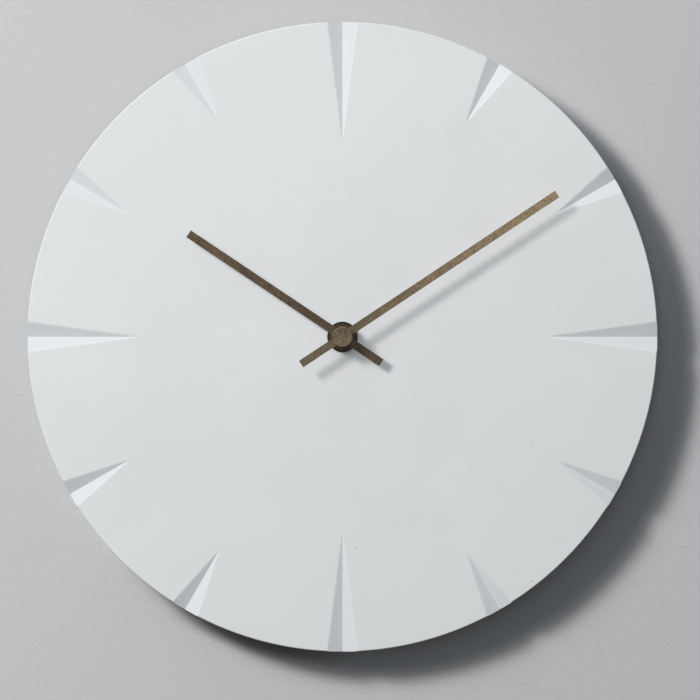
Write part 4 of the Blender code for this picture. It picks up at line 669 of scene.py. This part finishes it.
def copper_wire():
    """Enamelled copper wire wound side by side along X, with painted shade in the grooves between the turns.
    """
    wire = Finish("enamelled copper", 0.28, metallic=1.0)
    inputs = {"Vector": wire.place, "Scale": 2600.0, "Distortion": 0.4, "Detail": 1.0}
    turns = wire.put("TexWave", inputs, "Fac", bands_direction="X")
    # Painted shade: darker in the grooves between the turns, lighter on their crests.
    wire.tones(turns, 0.0, 1.0, rgba((0.32, 0.10, 0.035)), rgba((0.80, 0.34, 0.15)))
    wire.bump(turns, 0.05)
    return wire.material


def laminate():
    """Bare brown laminate of the circuit board, with a paper fibre."""
    board = Finish("board laminate", 0.5)
    fibre = board.noise(0.6, 4.0, 0.7, (0.3, 1.0, 1.0))
    board.tones(fibre, 0.3, 0.7, rgba((0.17, 0.11, 0.035)), rgba((0.30, 0.21, 0.08)))
    board.bump(fibre, 0.01)
    return board.material


def resin():
    """Glossy black resin with a slightly uneven skin."""
    drop = Finish("black resin", 0.2, level=0.6)
    skin = drop.noise(1.5)
    drop.tones(skin, 0.0, 1.0, rgba((0.010,) * 3), rgba((0.024,) * 3))
    drop.roughen(skin, 0.28, 0.16)
    drop.bump(skin, 0.08)
    return drop.material


def foil_jacket(tone):
    """Plain metallised foil, drawn tight with faint lengthwise creases."""
    foil = Finish("plain foil jacket", 0.3, metallic=0.55)
    handling = foil.noise(4.0, 4.0, 0.6)
    foil.tones(handling, 0.3, 0.7, rgba(tone, 0.85), rgba(tone, 1.1))
    foil.roughen(handling, 0.38, 0.24)
    foil.bump(foil.noise(0.7, 3.0, stretch=(0.12, 1.0, 1.0)), 0.02)
    return foil.material


def plain_matt(name, tone):
    """Matt paint for the wall or floor, with broad clouds and a fine stipple."""
    paint = Finish(name, 0.9, level=0.1)
    stipple = paint.levels(paint.noise(1.3), 0.3, 0.7)
    paint.tones(paint.both(paint.noise(250.0), stipple, 0.2), 0.0, 1.0, rgba(tone, 0.95), rgba(tone, 1.05))
    return paint


# Pieces


def notch_section(settings, reach, width, share):
    """A notch across its length, a share of the way to the rim: two slopes, rounded at the face."""
    radius = settings.diameter / 2 - reach * (1 - share)
    half = width / 2 * share
    depth = settings.notch_depth * share
    slope_steps, edge_steps, proud = 6, 4, 0.004 * MM

    def slope_at(across):
        return Vector((half * across, depth * (1 - across)))

    flare = min(settings.notch_rounding, half / 2)
    worn = 1.0 - flare / half
    inner, edge = slope_at(worn), slope_at(1.0)
    outer = edge + Vector((flare, -proud))
    side = [slope_at(step / slope_steps * worn) for step in range(slope_steps)]
    for along in (step / edge_steps for step in range(edge_steps + 1)):
        side.append(inner * (1 - along) ** 2 + edge * 2 * along * (1 - along) + outer * along**2)
    side.append(outer + Vector((flare, -OVERRUN)))
    points = [Vector((-point.x, point.y)) for point in reversed(side[1:])] + side
    return [Vector((point.x, FACE + point.y, HUB.z + radius)) for point in points]


def cut_keyhole(piece, settings, room, back, front, segments):
    """Cuts the entry and the slot for the nail, with some room all round."""
    travel = settings.travel
    entry = rod("entry_tool", settings.entry_diameter / 2 + room, back, front, (0.0, 0.0, -travel), segments)
    seat = rod("seat_tool", settings.slot_width / 2 + room, back, front, ORIGIN, 48)
    way = block("way_tool", settings.slot_width + 2 * room, travel, back, front, (0.0, 0.0, -travel / 2))
    carve(piece, entry, seat, way)


class CLOCK_OT_concrete_dial(Operator):
    """Turns the disc, cuts its notches, pocket and hanger seat, and gives it fine cast concrete"""

    bl_idname = "clock.concrete_dial"
    bl_label = "Concrete dial"

    def execute(self, context):
        settings = context.scene.clock_dial
        rim, chamfer = settings.diameter / 2, settings.back_chamfer
        profile = [(rim - chamfer, 0.0), (rim, -chamfer), *quarter_round(rim, FACE, settings.rim_rounding, 5)]
        dial = turned("cast_dial", profile, segments=480)
        for reach, width, hours in (
            (settings.upright_notch, settings.long_width, (0, 6)),
            (settings.level_notch, settings.long_width, (3, 9)),
            (settings.short_notch, settings.short_width, (1, 2, 4, 5, 7, 8, 10, 11)),
        ):
            self.cut_notches(dial, settings, reach, width, hours)
        pocket_room = 3.0 * MM
        housing, width = middle_of("case_front"), size_of("case_front").x + pocket_room
        self.cut_recesses(dial, context.scene.clock_hanger, housing, width)
        self.break_pocket_edges(dial, housing, width)
        cast = concrete(settings, "fine concrete", pore_share=0.05, pore_reach=0.06, grain=0.02)
        dress(dial, cast, "clock", "concrete", "concrete_dial")
        trowelled = concrete(
            settings, "trowelled concrete", pore_share=0.55, pore_reach=0.13, grain=0.09, patchiness=0.88
        )
        dial.data.materials.append(trowelled)
        hidden = rim / 2 + 20.0 * MM
        for polygon in dial.data.polygons:
            spot = polygon.center
            inside = math.hypot(spot.x, spot.z - HUB.z) < hidden and spot.y > FACE + 1.0 * MM
            if polygon.normal.y > 0.3 or inside:
                polygon.material_index = 1
        return {"FINISHED"}

    def cut_notches(self, dial, settings, reach, width, hours):
        """Cuts like notches at some of the hours, from one tool and its copies."""
        shares = (0.004, 0.02, 0.06, 0.15, 0.3, 0.5, 0.75, 1.0, 1.05)
        first = lofted("notch_tool", [notch_section(settings, reach, width, share) for share in shares])
        tools = [copied(first, f"notch_tool_{hour}", about_axis(math.tau * hour / 12)) for hour in hours]
        bpy.data.objects.remove(first, do_unlink=True)
        carve(dial, joined("notch_tools", tools))

    def cut_recesses(self, dial, hanger, housing, width):
        """Cuts the movement's pocket, the keyhole plate's seat, the nail's room and the holes."""
        pocket_corner, seat_corner, seat_gap = 4.5 * MM, 3.5 * MM, 1.0 * MM
        nail_room, nail_depth, plug_room = 1.2 * MM, 9.0 * MM, 0.1 * MM
        front = depth_of("case_gasket")[1] - CLEARANCE
        pocket = rounded_block("pocket_tool", width, width, OVERRUN, front, housing, pocket_corner, 12)
        front = depth_of("hanger_plate")[1] - CLEARANCE
        plate, middle = size_of("hanger_plate"), middle_of("hanger_plate")
        size = (plate.x + seat_gap, plate.z + seat_gap)
        carve(dial, pocket, rounded_block("seat_tool", *size, OVERRUN, front, middle, seat_corner))
        cut_keyhole(dial, hanger, nail_room, 0.0, front - nail_depth, 48)
        for anchor in ("anchor_left", "anchor_right"):
            radius, front = size_of(anchor).x / 2 + plug_room, depth_of(anchor)[1] - CLEARANCE
            carve(dial, rod("anchor_tool", radius, 0.0, front, middle_of(anchor), 40))
        carve(dial, rod("bushing_tool", BUSHING_HOLE, 0.0, FACE - OVERRUN))

    def break_pocket_edges(self, dial, housing, width):
        """Chamfers the rear edge of the pocket a little, as a mould leaves it."""
        chamfer, near = 0.6 * MM, 0.01 * MM
        reach = width / 2 + near

        def on_edge(vert):
            aside = vert.co - housing
            return abs(vert.co.y) < near and abs(aside.x) < reach and abs(aside.z) < reach

        round_edges(dial, lambda edge: all(on_edge(vert) for vert in edge.verts), chamfer, 2)


class CLOCK_OT_hands(Operator):
    """Stamps the two hands from bronze-painted sheet"""

    bl_idname = "clock.hands"
    bl_label = "Hands"

    def execute(self, context):
        settings = context.scene.clock_hands
        # Both hands wear one bronze paint; the hour hand's lower strengths and its tint are painted light, a
        # duller reflection than the minute hand's, and the rise from hub to tip on each hand is a painted
        # sheen.
        self.make_hand(settings, "hour", hole=4.1 * MM, near=0.60, far=0.84, tint=settings.hour_painted_reflection_tint)
        self.make_hand(settings, "minute", hole=1.7 * MM, near=1.08, far=2.15, tint=WHITE)
        return {"FINISHED"}

    def make_hand(self, settings, kind, hole, near, far, tint):
        """A strip with square ends and a round boss, made at twelve and turned to its reading."""
        width, reach, tail, boss, reading = (
            getattr(settings, f"{kind}_{part}") for part in ("width", "reach", "tail", "boss", "reading")
        )
        node, boss_step = f"{kind}_hand", 0.1 * MM
        back, front = depth_of(node)
        middle = (0.0, 0.0, HUB.z + (reach - tail) / 2)
        hand = block(f"{kind}_blade", width, reach + tail, back, front, middle)
        carve(hand, rod("boss_tool", boss / 2, back, front + boss_step, segments=128), operation="UNION")
        carve(hand, rod("hole_tool", hole, back + OVERRUN, front - OVERRUN))
        hand.data.transform(about_axis(reading))
        soften(hand, settings.edge_rounding)
        paint = bronze_paint(settings, f"bronze paint, {kind}", near, far, reading, width, reach, tint)
        dress(hand, paint, node, "bronze_paint", node)


class CLOCK_OT_hand_cap(Operator):
    """Turns the closed nut that holds the minute hand"""

    bl_idname = "clock.hand_cap"
    bl_label = "Hand cap"

    def execute(self, context):
        back, front = depth_of("hand_cap")
        outer, bore, thickness = size_of("hand_cap").x / 2, 1.4 * MM, 0.6 * MM
        edge, rounding = 0.1 * MM, 0.35 * MM
        profile = [(bore, front + thickness), (bore, back), (outer - edge, back), (outer, back - edge)]
        cap = turned("cap_nut", profile + quarter_round(outer, front, rounding, 6), 128)
        paint = bronze_paint(context.scene.clock_hands, "bronze paint, cap", near=1.12)
        dress(cap, paint, "minute_hand", "bronze_paint", "hand_cap")
        return {"FINISHED"}


class CLOCK_OT_hub(Operator):
    """Turns the washer, nut and collet between the dial and the hands"""

    bl_idname = "clock.hub"
    bl_label = "Hub"

    def execute(self, context):
        dark = black_metal()
        brass = turned_metal("turned brass", (0.60, 0.42, 0.15), HUB)
        hole, edge = BUSHING_HOLE, 0.15 * MM
        back, front = depth_of("dial_washer")
        outer = size_of("dial_washer").x / 2
        profile = [(hole, back), (outer, back), (outer, front + edge), (outer - edge, front), (hole, front)]
        washer = turned("clamp_washer", profile, 128, ring=True)
        dress(washer, dark, "clock", "black_metal", "dial_washer")
        back, front = depth_of("fixing_nut")
        nut = rod("hex_nut", size_of("fixing_nut").z / math.sqrt(3), back, front, segments=6)
        nut.data.transform(about_axis(math.radians(30.0)))
        carve(nut, rod("thread_tool", hole, back + OVERRUN, front - OVERRUN, segments=64))
        soften(nut, width=0.25 * MM)
        dress(nut, dark, "clock", "black_metal", "fixing_nut")
        back, front = depth_of("hour_collet")
        neck, bore, head, flange = 3.8 * MM, 2.8 * MM, size_of("hour_collet").x / 2, 1.0 * MM
        seat = front + flange
        profile = [(bore, back), (neck, back), (neck, seat), (head - edge, seat), (head, seat - edge)]
        profile += [(head, front + edge), (head - edge, front), (bore + edge, front), (bore, front + edge)]
        collet = turned("collet_ring", profile, 96, ring=True)
        dress(collet, brass, "hour_hand", "brass", "hour_collet")
        repaint(brass, "threaded_bushing", "minute_arbor")
        return {"FINISHED"}


class CLOCK_OT_keyhole_plate(Operator):
    """Stamps the keyhole plate and turns its two screws"""

    bl_idname = "clock.keyhole_plate"
    bl_label = "Keyhole plate"

    def execute(self, context):
        settings = context.scene.clock_hanger
        zinc = zinc_steel(settings.zinc_colour)
        size, middle = size_of("hanger_plate"), middle_of("hanger_plate")
        back, front = depth_of("hanger_plate")
        past_back, past_front = back + OVERRUN, front - OVERRUN
        plate = rounded_block("keyhole_plate", size.x, size.z, back, front, middle, settings.corner, 10)
        cut_keyhole(plate, settings, 0.0, past_back, past_front, 64)
        head, shank = settings.screw_head / 2 + CLEARANCE, 1.8 * MM
        profile = [(head, past_back), (head, back), (shank, back - head + shank), (shank, past_front)]
        for side in ("left", "right"):
            carve(plate, turned("countersink_tool", profile, 64, middle_of(f"hanger_screw_{side}")))
        soften(plate, width=0.12 * MM)
        dress(plate, zinc, "clock", "zinc_steel", "hanger_plate")
        for side, turn in (("left", 0.35), ("right", 1.1)):
            self.make_screw(settings.screw_head / 2, side, turn, zinc)
        plug = moulded_plastic((0.33, 0.33, 0.34), "grey plastic", roughness=0.5, texture=0.02)
        repaint(plug, "anchor_left", "anchor_right")
        return {"FINISHED"}

    def make_screw(self, head, side, turn, zinc):
        """A countersunk screw with a cross recess, as far in as its anchor goes."""
        node = f"hanger_screw_{side}"
        place = middle_of(node)
        back, front = depth_of(node)
        shank, core, edge, tip = 1.5 * MM, 1.22 * MM, 0.1 * MM, 0.15 * MM
        pitch, half_turn, neck, point = 1.0 * MM, 0.35 * MM, 0.4 * MM, 2.6 * MM
        cross_length, cross_width, cross_depth = 3.3 * MM, 0.75 * MM, 1.0 * MM
        profile = [(head - edge, back), (head, back - edge), (shank, back - edge - head + shank)]
        depth = profile[-1][1] - neck
        while depth > front + point:
            profile += [(core, depth), (shank, depth - half_turn), (core, depth - 2 * half_turn)]
            depth -= pitch
        screw = turned(f"screw_{side}", [*profile, (tip, front)], 48, place)
        floor = back - cross_depth
        for lean in (turn, turn + math.pi / 2):
            recess = block("recess_tool", cross_length, cross_width, back + OVERRUN, floor, place)
            recess.data.transform(about_axis(lean, place))
            carve(screw, recess)
        dress(screw, zinc, "clock", "zinc_steel", node)


class CLOCK_OT_movement_housing(Operator):
    """Moulds the housing, its rear cover with the knob's well, and the rubber pad in front"""

    bl_idname = "clock.movement_housing"
    bl_label = "Movement housing"

    def execute(self, context):
        tone = context.scene.clock_movement.housing_colour
        black = moulded_plastic(tone, "black moulded plastic", roughness=0.42, texture=0.035)
        housing = refined("case_front", "moulded_housing", width=0.12 * MM, segments=1)
        dress(housing, black, "clock", "black_plastic", "case_front")
        cover = refined("back_cover", "rear_cover", width=0.15 * MM)
        dress(cover, black, "clock", "black_plastic", "back_cover")
        repaint(rubber(), "case_gasket")
        return {"FINISHED"}


class CLOCK_OT_set_knob(Operator):
    """Turns the ribbed knob that sets the hands"""

    bl_idname = "clock.set_knob"
    bl_label = "Set knob"

    def execute(self, context):
        settings = context.scene.clock_movement
        place = middle_of("motion_wheel")
        back, front = depth_of("set_knob")
        radius = size_of("set_knob").x / 2
        bore, edge, wall, slope, sunk = 1.05 * MM, 0.2 * MM, 1.3 * MM, 0.7 * MM, 0.8 * MM
        groove, groove_out = 0.42 * MM, 0.1 * MM
        dish, floor = radius - wall, back - sunk
        profile = [(bore, floor), (dish - slope, floor), (dish, back), (radius - edge, back)]
        profile += [(radius, back - edge), (radius, front), (bore, front)]
        knob = turned("ribbed_knob", profile, 144, place, ring=True)
        spot = (place.x + radius + groove_out, 0.0, place.z)
        tools = [rod("rib_tool", groove, back + OVERRUN, front - OVERRUN, spot, 16)]
        for rib in range(1, settings.rib_count):
            turn = about_axis(math.tau * rib / settings.rib_count, place)
            tools.append(copied(tools[0], f"rib_tool_{rib}", turn))
        carve(knob, joined("rib_tools", tools))
        white = moulded_plastic(settings.wheel_colour, "white moulded plastic", roughness=0.38, texture=0.012)
        dress(knob, white, "motion_wheel", "white_plastic", "set_knob")
        repaint(white, "train_plate", "train_bridge", "rotor_pinion", "coil_bobbin")
        for name in ("seconds", "third", "intermediate", "centre", "motion", "hour"):
            repaint(white, f"{name}_wheel")
        return {"FINISHED"}


class CLOCK_OT_battery(Operator):
    """Draws the cell: a steel can with its nub, and a plain foil jacket round it"""

    bl_idname = "clock.battery"
    bl_label = "Battery"

    def execute(self, context):
        jacket_paint = foil_jacket(context.scene.clock_movement.jacket_colour)
        can_paint = zinc_steel((0.62, 0.62, 0.61), "nickel-plated steel", dull=0.30, metallic=0.85)
        size = size_of("battery") / MM
        half, radius, skin, nub_height = size.x / 2, size.z / 2, 0.12, 1.2
        shoulder = half - nub_height
        # From the flat end, round its rim and along the side to the nub
        can = [(4.2, half), (4.6, half - 0.25), (5.6, half - 0.3), (radius - 1.1, half), (radius - 0.7, half)]
        can += [(radius - skin, half - 0.6), (radius - skin, 0.6 - shoulder), (radius - 0.7, -shoulder)]
        can += [(3.4, -shoulder), (2.8, -shoulder - 0.1), (2.65, -shoulder - 0.4), (2.65, 0.2 - half)]
        dress(self.lathe("battery_can", [*can, (2.4, -half)]), can_paint, "clock", "zinc_steel", "battery")
        # Along the side, in over the shoulder, and back inside
        inner = radius - skin - 0.02
        jacket = [(inner, half - 0.5), (radius, half - 0.55), (radius, 0.75 - shoulder)]
        jacket += [(radius - 0.5, 0.12 - shoulder), (radius - 1.4, -shoulder - 0.05)]
        jacket += [(radius - 1.4, 0.05 - shoulder), (radius - 0.75, 0.2 - shoulder), (inner, 0.9 - shoulder)]
        dress(self.lathe("battery_jacket", jacket, ring=True), jacket_paint, "clock", "battery_jacket")
        return {"FINISHED"}

    def lathe(self, name, profile, ring=False):
        """Turns a profile in millimetres and lays it down along the cell."""
        piece = turned(name, [(radius * MM, along * MM) for radius, along in profile], 96, ORIGIN, ring)
        piece.data.transform(Matrix.Translation(middle_of("battery")) @ Matrix.Rotation(math.pi / 2, 4, "Z"))
        return piece


class CLOCK_OT_electrics(Operator):
    """Finishes the battery's contacts, the circuit board and the motor"""

    bl_idname = "clock.electrics"
    bl_label = "Electrics"

    def execute(self, context):
        spring = zinc_steel((0.64, 0.64, 0.62), "nickel-plated spring steel", dull=0.32, metallic=0.85)
        for sign in ("positive", "negative"):
            contact = refined(f"{sign}_contact", f"{sign}_spring", width=0.06 * MM, segments=1)
            dress(contact, spring, "clock", "zinc_steel", f"{sign}_contact")
        repaint(spring, "crystal")
        repaint(zinc_steel((0.40, 0.40, 0.41), "motor iron", dull=0.36), "stator", "coil_core")
        middle = middle_of("rotor_magnet")
        magnet = turned_metal("sintered magnet", (0.16, 0.16, 0.17), middle, roughness=0.42)
        repaint(magnet, "rotor_magnet")
        repaint(copper_wire(), "coil_winding")
        repaint(laminate(), "circuit_board")
        repaint(resin(), "chip_cap")
        return {"FINISHED"}


class CLOCK_OT_stage(Operator):
    """Sets up the camera, the lights, the wall and the floor"""

    bl_idname = "clock.stage"
    bl_label = "Stage"

    def execute(self, context):
        settings = context.scene.clock_stage
        self.make_camera(context, settings)
        wall = self.make_wall(settings)
        self.make_floor(settings)
        self.make_lights(settings, wall)
        self.make_ambient(context, settings)
        context.scene.view_settings.view_transform = "Standard"
        return {"FINISHED"}

    def make_camera(self, context, settings):
        """A long lens in front of the dial."""
        deselect_all()
        place = (settings.camera_right, FACE - settings.camera_distance, HUB.z - settings.camera_drop)
        bpy.ops.object.camera_add(location=place, rotation=FACING_READER)
        camera = context.scene.camera = bpy.context.active_object
        camera.name = "reader"
        camera.data.lens = settings.lens
        camera.data.sensor_width = 36.0
        camera.data.clip_end = 50.0

    def make_lights(self, settings, wall):
        """A key with a soft halo, a panel for the clock alone, and two lamps for its back."""
        warm, cool = (1.0, 0.985, 0.965), (0.96, 0.985, 1.0)
        wash_place, rear_place, rear_size = Vector((0.2, 2.3, 0.35)), Vector((-0.95, 1.75, 1.0)), 1.4
        hour, minute, cap, dial = (
            bpy.data.objects[name] for name in ("hour_blade", "minute_blade", "cap_nut", "cast_dial")
        )
        key_place = self.way_to(settings.key_zenith, settings.key_direction) * settings.key_distance
        self.add_lamp("key", key_place, settings.key_power, settings.key_size, warm)
        halo = self.add_lamp("key_halo", key_place, settings.halo_power, settings.halo_size, warm)
        self.tie(halo, "blocker", "EXCLUDE", minute)
        panel_place = self.way_to(settings.panel_zenith, settings.panel_direction) * settings.panel_distance
        panel = self.add_lamp("panel", panel_place, settings.panel_power, settings.panel_size, cool)
        self.tie(panel, "receiver", "EXCLUDE", wall)
        self.tie(panel, "blocker", "EXCLUDE", hour, minute, cap)
        wash = self.add_lamp("rear_wash", wash_place, settings.rear_power, rear_size)
        self.tie(wash, "receiver", "INCLUDE", dial)
        rear = self.add_lamp("rear", rear_place, settings.rear_power, rear_size)
        self.tie(rear, "receiver", "EXCLUDE", dial)

    def tie(self, lamp, part, state, *things):
        """Includes only some things in what a lamp lights or what shades it, or leaves some out."""
        group = bpy.data.collections.new(f"{lamp.name} {part}")
        setattr(lamp.light_linking, f"{part}_collection", group)
        for thing in things:
            group.objects.link(thing)
        for member in group.collection_objects:
            member.light_linking.link_state = state

    def way_to(self, zenith, direction):
        """The way from the hub to a lamp, at an angle off the dial's axis and a direction round the dial."""
        aside = math.sin(zenith)
        return Vector((math.cos(direction) * aside, -math.cos(zenith), math.sin(direction) * aside))

    def add_lamp(self, name, place, power, size, tint=WHITE):
        """A round area lamp at a place from the hub, which it faces."""
        deselect_all()
        bpy.ops.object.light_add(type="AREA", location=HUB + place)
        lamp = bpy.context.active_object
        lamp.name = name
        lamp.data.shape = "DISK"
        lamp.data.size = size
        lamp.data.energy = power
        lamp.data.color = tint
        lamp.visible_camera = False
        lamp.rotation_mode = "QUATERNION"
        lamp.rotation_quaternion = (-place).to_track_quat("-Z", "Y")
        return lamp

    def make_ambient(self, context, settings):
        """Dim light from all round, more of it from above, and a pale background for the camera."""
        world = context.scene.world = bpy.data.worlds.new("studio")
        world.use_nodes = True
        sky = Nodes(world.node_tree)
        way = sky.put("TexCoord", output="Generated")
        upward = sky.vector("DOT_PRODUCT", way, (-0.35, 0.0, 0.94), "Value")
        lean = settings.ambient * settings.ambient_lean
        low, high = settings.ambient - lean, settings.ambient + lean
        light = sky.tree.nodes["Background"]
        sky.give(light.inputs["Color"], (0.92, 0.965, 1.0, 1.0))
        sky.give(light.inputs["Strength"], sky.levels(upward, -1.0, 1.0, low, high))
        pale = sky.put("Background", {"Color": (0.60, 0.61, 0.62, 1.0), "Strength": 1.0})
        rays = sky.put("LightPath").node.outputs
        seen = sky.calc("MAXIMUM", rays["Is Camera Ray"], rays["Is Transmission Ray"])
        sky.mix_shaders(seen, light.outputs[0], pale, "World Output")

    def add_flat(self, name, place, turn=(0.0, 0.0, 0.0)):
        """A large flat square round a place."""
        deselect_all()
        bpy.ops.mesh.primitive_plane_add(size=8.0, location=place, rotation=turn)
        return taken(name)

    def make_wall(self, settings):
        """A wall that shows from the front only, so that the clock's back can be seen."""
        gap = 0.05 * MM
        wall = self.add_flat("wall", (0.0, gap, HUB.z), FACING_READER)
        paint = plain_matt("wall paint", settings.wall_colour)
        plain = paint.shader.inputs["Base Color"].links[0].from_socket
        # Painted shade and painted shadow near the rim, over the wall's plain paint.
        paint.feed("Base Color", self.painted_rim_shading(paint, settings, plain))
        behind = paint.put("NewGeometry", output="Backfacing")
        clear = paint.put("BsdfTransparent")
        paint.mix_shaders(behind, paint.shader.outputs[0], clear, "Material Output")
        wall.data.materials.append(paint.material)
        for ray in ("shadow", "diffuse", "glossy", "transmission"):
            setattr(wall, f"visible_{ray}", False)
        return wall

    def painted_rim_shading(self, paint, settings, tone):
        """The wall's tone with painted shade: duller beside the lit part of the rim, and painted shadow close
        to the rim where it keeps light off.
        """
        place = paint.vector("SUBTRACT", paint.place, HUB)
        radius = paint.vector("LENGTH", place, output="Value")
        way = paint.vector("NORMALIZE", place)
        rim = size_of("concrete_dial").x / 2

        def towards(degrees, low, high, near):
            """1 beside the rim at a reading of the dial, and less well aside of it and further out."""
            aim = (math.sin(math.radians(degrees)), 0.0, math.cos(math.radians(degrees)))
            share = paint.levels(paint.vector("DOT_PRODUCT", way, aim, "Value"), low, high)
            return paint.calc("MULTIPLY", near, share)

        def falling(power):
            """1 at the rim and less further out, the sooner the higher the power."""
            return paint.calc("MINIMUM", paint.calc("POWER", paint.calc("DIVIDE", rim, radius), power), 1.0)

        # Painted shade beside the lit part of the rim, cancelling the light that the lit rim throws onto the
        # wall.
        lit = towards(320.0, 0.0, 1.0, falling(9.4))
        # Painted shadow close to the rim on the shadow's side.
        shade = towards(135.0, 0.0, 0.3, falling(60.0))
        # Painted shadow close to the rim between six and seven.
        foot = towards(195.0, 0.95, 1.0, paint.levels(radius, rim + 9.0 * MM, rim + 4.0 * MM))
        tone = paint.mix(lit, tone, rgba(settings.wall_colour, 1.0 - settings.wall_painted_shade))
        for share, strength in ((shade, settings.rim_painted_shadow), (foot, settings.foot_painted_shadow)):
            tone = paint.mix(paint.calc("MULTIPLY", share, strength), tone, BLACK)
        return tone

    def make_floor(self, settings):
        """A plain pale floor well below the clock."""
        drop = 1.5
        floor = self.add_flat("floor", (0.0, 0.0, HUB.z - drop))
        floor.data.materials.append(plain_matt("floor paint", settings.floor_colour).material)
        floor.visible_diffuse = False


BUILD_STEPS = (
    CLOCK_OT_concrete_dial,
    CLOCK_OT_hands,
    CLOCK_OT_hand_cap,
    CLOCK_OT_hub,
    CLOCK_OT_keyhole_plate,
    CLOCK_OT_movement_housing,
    CLOCK_OT_set_knob,
    CLOCK_OT_battery,
    CLOCK_OT_electrics,
    CLOCK_OT_stage,
)

SETTINGS = {
    "clock_dial": ClockDialSettings,
    "clock_hands": ClockHandSettings,
    "clock_movement": ClockMovementSettings,
    "clock_hanger": ClockHangerSettings,
    "clock_stage": ClockStageSettings,
}


class CLOCK_PT_sidebar(Panel):
    """Lists the clock's pieces and their sizes"""

    bl_idname = "CLOCK_PT_sidebar"
    bl_label = "Concrete wall clock"
    bl_space_type = "VIEW_3D"
    bl_region_type = "UI"
    bl_category = "Clock"

    def draw(self, context):
        column = self.layout.column()
        for step in BUILD_STEPS:
            column.operator(step.bl_idname)
        for name, group in SETTINGS.items():
            box = self.layout.box()
            for key in group.__annotations__:
                box.prop(getattr(context.scene, name), key)


def register():
    """Registers the settings, the operators and the panel."""
    for each in (*SETTINGS.values(), *BUILD_STEPS, CLOCK_PT_sidebar):
        bpy.utils.register_class(each)
    for name, group in SETTINGS.items():
        setattr(bpy.types.Scene, name, PointerProperty(type=group))


def unregister():
    """Takes everything out again."""
    for name in SETTINGS:
        delattr(bpy.types.Scene, name)
    for each in (CLOCK_PT_sidebar, *reversed(BUILD_STEPS), *reversed(SETTINGS.values())):
        bpy.utils.unregister_class(each)


def main():
    """Builds every piece in order."""
    register()
    for step in BUILD_STEPS:
        group, name = step.bl_idname.split(".")
        getattr(getattr(bpy.ops, group), name)()


if __name__ == "__main__":
    main()
